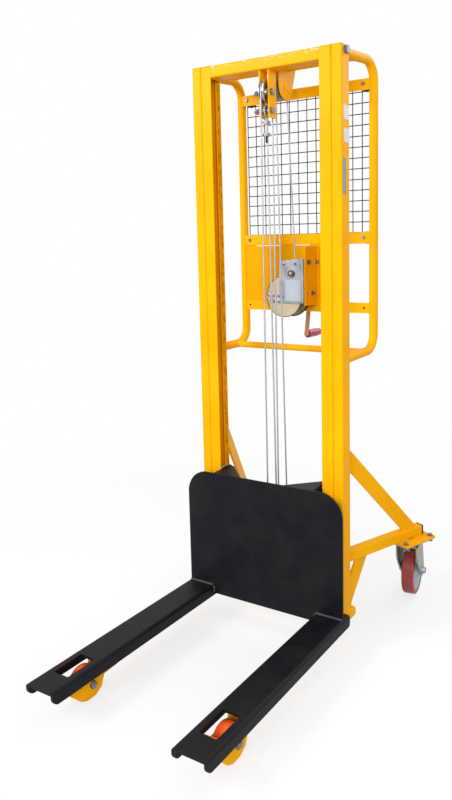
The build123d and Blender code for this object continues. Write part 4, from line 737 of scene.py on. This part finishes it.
def winchFace():
    v = winch
    stud = stand(turned(discProfile(*v["studSize"])), onWinch(v["stud"]), forward)
    dress(stud, "winchStud", "chassis", "zinc")
    label = stand(plateOf(roundedOutline(*v["labelSize"]), v["labelThick"]), onWinch(v["label"]), leftward)
    dress(label, "winchLabel", "chassis", "winchLabel")
    low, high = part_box("crank_shaft")
    shaftEnd = Vector(((low.x + high.x) / 2, at(0, v["collar"], 0).y, (low.z + high.z) / 2))
    dress(stand(turned(discProfile(*v["tipSize"])), shaftEnd, forward), "shaftTip", "crank", "chromate")


def bracketBolt():
    v = winch
    washer = turned(washerProfile(*v["washer"]), 40)
    head = stand(hexHead(*v["boltHead"]), Vector((v["washer"][2] * mm, 0, 0)), rightward)
    dress(stand(joined([washer, head]), at(v["bracket"][1], *v["bolt"]), rightward), "bracketBolt", "chassis", "zinc")


winchPlate()
winchBracket()
winchFace()
bracketBolt()

# drum: a rolled rim whose dark blued tone is painted shade along the flange's edge, and the rope clamp on its front
# flange; heights stay clear of the winch's face plate
drum = {"face": 185, "eye": (-103.2, 1249.5), "eyeSize": (9.4, 1.9), "straps": ((-81.6, 1241.4), (-60.9, 1239.6)),
        "strapSize": (15, 40, 6), "strapThick": 1.2, "boltHead": (10, 2.2),
        "bolts": ((-81.5, 1252.4), (-81.7, 1230.5), (-60.8, 1250.6), (-61, 1228.7)),
        "rim": ((-3.4, -0.6), (-3.4, 0.5), (0.3, 0.5), (0.8, -0.2), (0.8, -1.6), (0, -2.2), (-0.4, -0.6))}


def drumDetails():
    v = drum
    low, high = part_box("winch_drum")
    flange = (high.x - low.x) / 2 / mm
    middle = Vector(((low.x + high.x) / 2, at(0, v["face"], 0).y, (low.z + high.z) / 2))
    # the rim's dark tone is painted shade at the flange's edge
    rim = turned([(along, flange + out) for along, out in v["rim"]], 96)
    dress(stand(rim, middle, forward), "flangeRim", "drum", "blued")
    eye = stand(turned(ringProfile(*v["eyeSize"]), 48), at(v["eye"][0], v["face"], v["eye"][1]), forward)
    dress(eye, "ropeClampEye", "drum", "brightSteel", 60)
    straps = [stand(plateOf(roundedOutline(*v["strapSize"]), v["strapThick"]), at(x, v["face"], z), leftward)
              for x, z in v["straps"]]
    dress(joined(straps), "ropeClampStrap", "drum", "brightSteel")
    heads = [stand(hexHead(*v["boltHead"]), at(x, v["face"] - v["strapThick"], z), forward) for x, z in v["bolts"]]
    dress(joined(heads), "ropeClampBolts", "drum", "darkZinc")


drumDetails()

inserts = {"x": 263, "sink": 0.4, "z": 1207,
           "profile": ((0, 3.5), (0, 4.35), (15, 4.35), (16, 3.6), (16, 0), (13, 0), (13, 3.5))}


def holeInserts():  # closed sleeves with a thread bore
    v = inserts
    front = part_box("panel_strips")[0].y
    places = [Vector((side * v["x"] * mm, front + v["sink"] * mm, v["z"] * mm)) for side in (-1, 1)]
    pair = [stand(turned(v["profile"], 32), place, backward) for place in places]
    dress(joined(pair), "holeInserts", "chassis", "blued")


holeInserts()

# blank stickers on the right post's outer side
stickers = {"upperSticker": (36.5, 1886, 42, 46, "label"), "middleSticker": (36.5, 1810, 42, 46, "label"),
            "lowerSticker": (20.5, 1675, 27, 122, "greyLabel")}
stickerCorner, stickerThick = 3, 0.35
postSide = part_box("right_post")[1].x / mm
for stickerName, (y, z, width, height, finish) in stickers.items():
    sticker = stand(plateOf(roundedOutline(width, height, stickerCorner), stickerThick), at(postSide, y, z), forward)
    dress(sticker, stickerName, "chassis", finish)
print("winch and stickers done")

# outriggers: an open seam between the welds at the caster plate, and a thick end cap with its plug
outrigger = {"edge": 0.4, "slit": (24, 6.4, 1.2), "slitDepth": 8, "slitPlace": (390, 20, 265.6),
             "middle": 282, "cap": (40, 40, 4), "capEnd": (455.05, 10, 2.4),
             "plug": (33.6, 33.6, 1), "plugEnd": (441, 16, 0.5)}  # ends: place, thickness, soft edge


def openSeams():
    v = outrigger
    along, across, z = v["slitPlace"]
    for side, name in ((-1, "left_outrigger"), (1, "right_outrigger")):
        slits = []
        for shift in (-across, across):
            slit = stand(plateOf(roundedOutline(*v["slit"]), v["slitDepth"], 0), splayed(side, along, shift, z),
                         splayed(side, 1, 0, 0) - splayed(side, 0, 0, 0))
            slit.matrix_world = slit.matrix_world @ Matrix.Translation((0, -v["slitDepth"] / 2 * mm, 0))
            slits.append(slit)
        softened(name, v["edge"], cutters=slits)


def outriggerCaps():
    v = outrigger
    caps = []
    for side in (-1, 1):
        across = (splayed(side, 0, 1, 0) - splayed(side, 0, 0, 0)) * side
        for size, (along, thick, soft) in ((v["cap"], v["capEnd"]), (v["plug"], v["plugEnd"])):
            cap = plateOf(roundedOutline(*size), thick, soft)
            caps.append(stand(cap, splayed(side, along, 0, v["middle"]), across))
    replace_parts(dress(joined(caps), "outrigger_caps_finished", "chassis", "black_plastic"), "outrigger_caps")


openSeams()
outriggerCaps()

# caster wheels: tyre with rounded shoulders and a worn track, hub with its long boss; half profiles
wheels = {"yaw": 8, "track": 5.2, "tread": 90,
          "tyre": [(0.8, 100), (4.6, 100), (5.4, 100), (18.2, 100), (20.6, 99.5), (22.6, 98.2), (24, 96.2),
                   (24.7, 93.6), (25, 90), (25, 86.5), (24.6, 84.6), (23.4, 82.9), (23, 82)],
          "hub": [(37, 7.06), (37, 12), (36.1, 12.6), (36.1, 16.6), (35.4, 18.2), (26.5, 26.4), (22.6, 30),
                  (18.6, 33.2), (16.6, 36.4), (16, 40), (16, 60), (16.6, 63.2), (18.8, 66.4), (21.4, 69.4),
                  (22.4, 71.6), (22.4, 77), (22.9, 78), (22.9, 81.9)]}


def mirrored(half):
    return half + [(-along, radius) for along, radius in reversed(half)]


def wheelSet(side, name):
    v = wheels
    low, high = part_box(name + "_tyre")
    turn = math.radians(v["yaw"])
    axle = (math.cos(turn), side * math.sin(turn), 0)
    tyre = turned(mirrored(v["tyre"]), 120)
    track = tyre.data.attributes.new("track", "FLOAT", "POINT")
    for vertex, item in zip(tyre.data.vertices, track.data):
        onTrack = abs(vertex.co.x) < v["track"] * mm and vertex.co.yz.length > v["tread"] * mm
        item.value = 1 if onTrack else 0
    stand(tyre, (low + high) / 2, axle)
    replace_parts(dress(tyre, name + "Tyre", "wheel_" + name, "red_tyre"), name + "_tyre")
    hub = stand(turned(mirrored(v["hub"]), 96), (low + high) / 2, axle)
    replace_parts(dress(hub, name + "Hub", "wheel_" + name, "white_nylon"), name + "_hub")


wheelSet(-1, "left")
wheelSet(1, "right")

gripShape = {"collar": [(0, 5.06), (0, 13.2), (0.8, 15.6), (2.4, 16.8), (6, 16.8), (7.6, 16), (9, 15.3)],
             "swell": [(18, 16), (30, 16.4), (52, 16.5), (76, 16)],
             "end": [(14, 14.9), (6, 14.2), (2, 12.6), (0, 10.4), (0, 5.06)]}  # the end: back from the tip


def crankGrip():
    v = gripShape
    low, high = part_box("crank_grip")
    length = (high.y - low.y) / mm
    profile = v["collar"] + v["swell"] + [(length - back, radius) for back, radius in v["end"]]
    grip = stand(turned(profile, 48), Vector(((low.x + high.x) / 2, low.y, (low.z + high.z) / 2)), backward)
    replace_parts(dress(grip, "crankGrip", "grip", "red_grip"), "crank_grip")


crankGrip()
print("wheels and grip turned")

# wire guard: round wires, uprights in front of the cross wires
guard = {"pitch": 40, "columns": 15, "rows": 16, "left": -280, "bottom": 1455, "back": 315.85, "wire": 1.8,
         "step": 0.2, "overhang": 2, "sides": 10, "edge": 0.5}


def guardWires():
    g = guard
    made = []
    for upright in (True, False):
        length = ((g["rows"] if upright else g["columns"]) - 1) * g["pitch"] + 2 * g["overhang"]
        halfway = length / 2 - g["overhang"]
        if upright:
            place = at(g["left"], g["back"] - g["step"], g["bottom"] + halfway)
        else:
            place = at(g["left"] + halfway, g["back"] + g["step"], g["bottom"])
        clearSelection()
        bpy.ops.mesh.primitive_cylinder_add(vertices=g["sides"], radius=g["wire"] * mm, depth=length * mm,
                                            rotation=(0, 0 if upright else math.pi / 2, 0), location=place)
        wire = bpy.context.object
        settle()
        bevelled(wire, g["edge"], 60, segments=1)
        step = (g["pitch"] * mm, 0, 0) if upright else (0, 0, g["pitch"] * mm)
        made.append(repeated(wire, g["columns"] if upright else g["rows"], step, merged=False))
    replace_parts(dress(joined(made), "guardWires", "chassis", "black_steel"), "mesh_guard")


guardWires()
print("wire guard made")

# wire rope: one ring of six lobes, repeated, twisted and laid on its line
rope = {"radius": 3, "valley": 0.87, "sides": 18, "ring": 2.6, "lay": 40, "smooth": 60}


def ropeLength(points):
    length = pathLength(points)
    count = max(4, round(length / (rope["ring"] * mm)))
    pitch = length / count
    strand = barAlong(rope["sides"], rope["radius"] * mm, pitch, "NOTHING")
    selectWhere(strand, "VERT", lambda co, index: (index // 2) % 3 == 0)
    bpy.ops.transform.resize(value=(1, rope["valley"], rope["valley"]))
    closeEdit()
    repeated(strand, count, (pitch, 0, 0))
    closeEnds(strand, length, pitch * 0.05)
    modify(strand, "SIMPLE_DEFORM", deform_method="TWIST", deform_axis="X",
           angle=math.tau * length / (rope["lay"] * mm))
    layAlong(strand, points)
    openAll(strand)
    facesOut()
    return strand


reeving = {"front": (27, 1986), "rear": (127, 2020), "sheave": 38, "pulley": 31, "pulleyZ": 300,
           "pulleys": (20, 96), "clear": (0.6, 0.6, 0.6, 1.7), "top": 1800, "gap": 0.4, "lead": 195,
           "drum": (-38, 1250), "wind": 54.55, "pitch": 6.7, "loops": 6, "loopSteps": 40, "tuck": 6, "fits": 3.4,
           "anchor": (26, 1922), "legGap": 0.5, "eyeRadius": 15.8, "eyeRise": 1, "eyePast": 0.15,
           "eyeFlare": ((0, 34), (2.5, 25), (9.5, 11)), "tailEnd": 12, "tapeStart": 11,
           "tape": ((0, 2.9), (0.4, 3.7), (9, 3.9), (20, 3.6), (22, 2.9)),
           "thimble": ((-4.4, 12.9), (-3.6, 13.1), (-2.8, 12.4), (0, 11.9), (2.8, 12.4), (3.6, 13.1), (4.4, 12.9),
                       (4.4, 12), (0, 10.6), (-4.4, 12))}


def tangentPoint(fromY, fromZ, hand):  # where a line from this place touches the rear sheave
    r = reeving
    reachY, reachZ = r["rear"][0] - fromY, r["rear"][1] - fromZ
    reach = math.hypot(reachY, reachZ)
    lean = math.atan2(reachY, reachZ) + hand * math.asin(r["sheave"] / reach)
    length = math.sqrt(reach ** 2 - r["sheave"] ** 2)
    return fromY + length * math.sin(lean), fromZ + length * math.cos(lean)


def arcPoints(centreY, centreZ, radius, start, end, count=24):
    return [at(0, centreY + radius * math.cos(start + (end - start) * i / count),
               centreZ + radius * math.sin(start + (end - start) * i / count)) for i in range(count + 1)]


def ropes():
    r = reeving
    lineA = r["front"][0] - r["sheave"]
    lineC = r["front"][0] + r["sheave"]
    lineB = r["pulleys"][0] + r["pulley"]
    lineD = r["pulleys"][1] + r["pulley"]
    anchorY, anchorZ = r["anchor"]
    eyeY = anchorY + rope["radius"] + r["legGap"]
    tailY = anchorY - rope["radius"] - r["legGap"]
    touchD = tangentPoint(lineD, r["pulleyZ"], -1)
    touchE = tangentPoint(r["lead"], r["drum"][1], 1)
    share = (r["top"] - r["pulleyZ"]) / (touchD[1] - r["pulleyZ"])
    topD = lineD + (touchD[0] - lineD) * share
    fallTop = r["top"] - r["gap"]
    clearA, clearB, clearC, clearD = r["clear"]  # so that a leaning fall stays out of its pulley's groove
    lows = (lineA - clearA, lineB + clearB, lineC - clearC, lineD + clearD)
    falls = [ropeLength([at(0, low, r["pulleyZ"]), at(0, high, fallTop)])
             for low, high in zip(lows, (lineA, eyeY, lineC, topD))]
    fallPiece = dress(joined(falls), "ropeFalls", "chassis", "rope", rope["smooth"])
    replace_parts(fallPiece, "rope_falls")
    lift = [j for j in frame["joints"] if j["name"] == "carriage_lift"][0]["range_m"][1]
    span = (fallTop - r["pulleyZ"]) * mm
    at(0, 0, fallTop)
    (span - lift) / span
    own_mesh(fallPiece)

    overFront = [at(0, lineA, fallTop)] + arcPoints(*r["front"], r["sheave"], math.pi, 0) + [at(0, lineC, fallTop)]
    startD = math.atan2(touchD[1] - r["rear"][1], touchD[0] - r["rear"][0])
    startD = startD if startD > 0 else startD + math.tau
    endE = math.atan2(touchE[1] - r["rear"][1], touchE[0] - r["rear"][0])
    rise = math.sqrt((r["wind"] + r["fits"]) ** 2 - (r["wind"] - r["fits"]) ** 2)
    shareE = rise / (touchE[1] - r["drum"][1])
    leadX = r["drum"][0] + r["wind"]
    leadEnd = at(leadX * (1 - shareE), r["lead"] + (touchE[0] - r["lead"]) * shareE, r["drum"][1] + rise)
    overRear = [at(0, topD, fallTop)] + arcPoints(*r["rear"], r["sheave"], startD, endE) + [leadEnd]
    eye = [at(0, eyeY, fallTop)] + [at(0, eyeY + out, anchorZ - down) for out, down in r["eyeFlare"]]
    eye += arcPoints(anchorY, anchorZ + r["eyeRise"], r["eyeRadius"], -r["eyePast"], math.pi + r["eyePast"], 20)
    eye += [at(0, tailY - out, anchorZ - down) for out, down in reversed(r["eyeFlare"])]
    eye.append(at(0, tailY, r["top"] + r["tailEnd"]))
    tops = [ropeLength(points) for points in (overFront, overRear, eye)]
    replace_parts(dress(joined(tops), "ropeTop", "chassis", "rope", rope["smooth"]), "rope_top")

    bottoms = [ropeLength(arcPoints((low + high) / 2, r["pulleyZ"], (high - low) / 2, math.pi, math.tau))
               for low, high in (lows[:2], lows[2:])]
    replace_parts(dress(joined(bottoms), "ropeBottom", "carriage", "rope", rope["smooth"]), "rope_bottom")

    coil = []
    for i in range(r["loops"] * r["loopSteps"] + 1):
        turn = math.tau * i / r["loopSteps"]
        coil.append(at(r["drum"][0] + r["wind"] * math.cos(turn), r["lead"] + r["pitch"] * turn / math.tau,
                       r["drum"][1] - r["wind"] * math.sin(turn)))
    tuck = Vector((0, 0, r["tuck"] * mm))
    coil = [coil[0] + tuck] + coil + [coil[-1] - tuck]
    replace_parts(dress(ropeLength(coil), "ropeWinding", "drum", "rope", rope["smooth"]), "rope_winding")

    tape = stand(turned(r["tape"], 24), at(0, tailY, r["top"] + r["tapeStart"]), upward, backward)
    dress(tape, "ropeTailTape", "chassis", "rubber")  # on the cut end of the rope
    thimble = stand(turned(r["thimble"], 48), at(0, anchorY, anchorZ), rightward)
    dress(thimble, "ropeThimble", "chassis", "zinc")


ropes()
print("ropes laid")

# welds, painted over with the steel that they join; places in mm, for the right side where both sides have them
pipes = {"x": 295.65, "radius": 16.85, "mast": 60.5, "ends": (2086, 1042), "ring": (17, 17.2), "bead": 2.2,
         "bars": ((145, 2095.3, 15), (215, 1047.2, 12.5))}  # y, z and radius of the bars between the pipes
# a run goes from one place to another: a pair stands where they differ
frameRuns = {
    "bead": 2.5,
    "sides": [
        (227, (8, 52), 2060),  # top beam on a rail
        (286.4, 281.4, (2016, 2050)), (286.4, 281.4, (1457, 1491)),  # cross strips on a pipe
        (286.4, 281.4, (1190, 1224)),
        (226, 60.4, (265, 299)), (269, 60.4, (265, 299)),  # outrigger on the mast's back
        ((229, 266), 60.4, 262), ((229, 266), 60.4, 302),
        ((276, 309), -0.3, 102), (312.6, (4, 56), 102),  # post on the leg
        (21.6, (13, 55), 2060),  # sheave plates under the beam
    ],
    "panel": [(-286, 284, (1421, 1447)), (-286, 284, (1317, 1343)), (-286, 284, (1247, 1273)),
              (60.8, 284.6, (1232, 1442))],  # winch panel on the left pipe and on the bracket
    "casterPlate": [((322, 372), 20.6, 262), ((407, 451), 20.6, 262)],  # along, across, z
}
barRuns = {
    "bead": 3.2, "across": 6,  # on both faces of the flat brace and of the flat stay
    "sides": [
        (247.5, 60.6, (686, 765)),  # brace on the mast
        ((285, 288.2), (62, 97), 102),  # stay on the leg
        ((292.6, 300.4), (142, 225), 262),  # stay under the outrigger
    ],
    "outrigger": [((359, 434), 6, 302)],  # brace on the outrigger
}
heelRuns = {"bead": 4.6, "sides": [((231, 339), -64.2, 125.4), (226.6, -63.8, (96, 121))]}
carriageRuns = {
    "bead": 3,
    "sides": [
        (211.5, -55, (128, 566)), (220.5, -55, (128, 566)),  # side plates on the back plate
        ((100, 206), -55, 571.5), ((100, 206), -55, 204.5),  # gussets and cross plates
        ((100, 206), -55, 213.5),
        (21.6, -55, (216, 384)),  # pulley cheeks
    ],
}


def bothEnds(run):
    return [[value[end] if isinstance(value, tuple) else value for value in run] for end in (0, 1)]


def bothSides(runs, shift=0):
    return [[at(side * (x + shift), y, z) for x, y, z in bothEnds(run)] for side in (-1, 1) for run in runs]


def onOutriggers(runs):  # on both faces of both outriggers
    return [[splayed(side, along, hand * across, z) for along, across, z in bothEnds(run)]
            for side in (-1, 1) for hand in (-1, 1) for run in runs]


def pipeRing(side, z, count=36):  # where a handle pipe meets the mast
    centre = at(side * pipes["x"], pipes["mast"], z)
    across, up = pipes["ring"]
    turns = [math.tau * i / count for i in range(count)]
    return [centre + Vector((across * mm * math.cos(turn), 0, up * mm * math.sin(turn))) for turn in turns]


def saddle(side, y, z, radius, count=32):  # where a cross bar meets a handle pipe
    points = []
    for i in range(count):
        turn = math.tau * i / count
        rise = radius * math.sin(turn)
        reach = math.sqrt(pipes["radius"] ** 2 - rise ** 2)
        points.append(at(side * (pipes["x"] - reach), y + radius * math.cos(turn), z + rise))
    return points


def weldSet(name, body, finish, runs, radius, closed=False):
    beads = [weldBead(points, radius, closed) for points in runs]
    return dress(joined(beads), name, body, finish, 50)


def frameWelds():
    rings = []
    for side in (-1, 1):
        rings += [pipeRing(side, z) for z in pipes["ends"]] + [saddle(side, *bar) for bar in pipes["bars"]]
    runs = bothSides(frameRuns["sides"]) + onOutriggers(frameRuns["casterPlate"])
    runs += [[at(*place) for place in bothEnds(run)] for run in frameRuns["panel"]]
    bars = bothSides(barRuns["sides"], -barRuns["across"]) + bothSides(barRuns["sides"], barRuns["across"])
    bars += onOutriggers(barRuns["outrigger"])
    weldSet("pipeWelds", "chassis", "yellow", rings, pipes["bead"], True)
    weldSet("frameWelds", "chassis", "yellow", runs, frameRuns["bead"])
    weldSet("barWelds", "chassis", "yellow", bars, barRuns["bead"])


frameWelds()
weldSet("forkWelds", "carriage", "wornBlack", bothSides(heelRuns["sides"]), heelRuns["bead"])
weldSet("carriageWelds", "carriage", "black_steel", bothSides(carriageRuns["sides"]), carriageRuns["bead"])
print("welds laid")

# stage, light and camera
scene = bpy.context.scene
scene.view_settings.view_transform = "Standard"
studio = {
    "aim": (0, 0.1, 1),
    "lamps": {  # place, size and power
        "key": ((-2.6, -3.6, 3.4), 1.8, 148),
        "front": ((1.8, -3.8, 2.3), 1.6, 76),
        "fill": ((3.4, -2.6, 2.2), 2.4, 38),
        "rim": ((1.2, 3.2, 3.4), 2.6, 60),
    },
    "air": (0.58, 1),  # strength for diffuse rays, and where the background is seen
    "floorSize": 40, "floorColour": (0.56, 0.86),  # for other rays, and for the camera
    "glowReach": (1.2, 3.2), "glow": (0.72, 1),  # share of glow near the part and far from it
}


def lamps():
    for name, (place, size, power) in studio["lamps"].items():
        clearSelection()
        bpy.ops.object.light_add(type="AREA", location=place)
        lamp = bpy.context.object
        lamp.name = name
        lamp.data.shape = "DISK"
        lamp.data.size = size
        lamp.data.energy = power
        lamp.rotation_euler = (Vector(studio["aim"]) - Vector(place)).to_track_quat("-Z", "Y").to_euler()


def background():  # white wherever it is seen, weaker as a light
    world = bpy.data.worlds.new("studioAir")
    scene.world = world
    air = Grower(world)
    seen = air.seenBy("Is Camera Ray", "Is Transmission Ray", "Is Glossy Ray")
    backdrop = air.tree.nodes["Background"].inputs
    air.feed(backdrop["Color"], tone(1, 1, 1))
    air.feed(backdrop["Strength"], air.span(seen, 0, 1, *studio["air"]))


def paperFloor():  # keeps the shadow, and fades to white
    clearSelection()
    bpy.ops.mesh.primitive_plane_add(size=studio["floorSize"], location=(0, 0, 0))
    floor = bpy.context.object
    floor.name = "floor"
    paper = Finish("whitePaper", Roughness=0.9, Specular_IOR_Level=0.1)
    paper.wear(Base_Color=paper.span(paper.seenBy("Is Camera Ray"), 0, 1, *studio["floorColour"]))
    reach = paper.add("ShaderNodeVectorMath", {"operation": "LENGTH"}, {0: paper.place}, "Value")
    share = paper.seenBy("Is Camera Ray", "Is Glossy Ray") * paper.span(reach, *studio["glowReach"], *studio["glow"])
    glow = paper.add("ShaderNodeEmission", None, {"Color": tone(1, 1, 1)})
    matt = Value(paper, paper.shader.outputs[0])
    blend = paper.add("ShaderNodeMixShader", None, {0: share, 1: matt, 2: glow})
    paper.feed(paper.tree.nodes["Material Output"].inputs["Surface"], blend)
    floor.data.materials.append(paper.material)


lamps()
background()
paperFloor()


def photoCamera():
    c = {"focal": 687.357, "middle": (312, 342), "frame": (452, 800), "place": (1379.74, -2108.246, 1405.086),
         "azimuth": 29.414, "down": 7.096, "roll": -0.561, "sensor": 36}
    az, el, roll = (math.radians(c[key]) for key in ("azimuth", "down", "roll"))
    ahead = Vector((-math.sin(az) * math.cos(el), math.cos(az) * math.cos(el), -math.sin(el)))
    right = Vector((math.cos(az), math.sin(az), 0))
    up = right.cross(ahead)
    right = right * math.cos(roll) + up * math.sin(roll)
    up = right.cross(ahead)
    lens = bpy.data.cameras.new("photoCamera")
    camera = bpy.data.objects.new("photoCamera", lens)
    scene.collection.objects.link(camera)
    camera.matrix_world = Matrix.Translation(at(*c["place"])) @ Matrix((right, up, -ahead)).transposed().to_4x4()
    longSide = max(c["frame"])
    lens.sensor_fit = "AUTO"
    lens.sensor_width = c["sensor"]
    lens.lens = c["sensor"] * c["focal"] / longSide
    lens.shift_x = (c["frame"][0] / 2 - c["middle"][0]) / longSide
    lens.shift_y = (c["middle"][1] - c["frame"][1] / 2) / longSide
    scene.camera = camera


photoCamera()
print("stage, light and camera set")
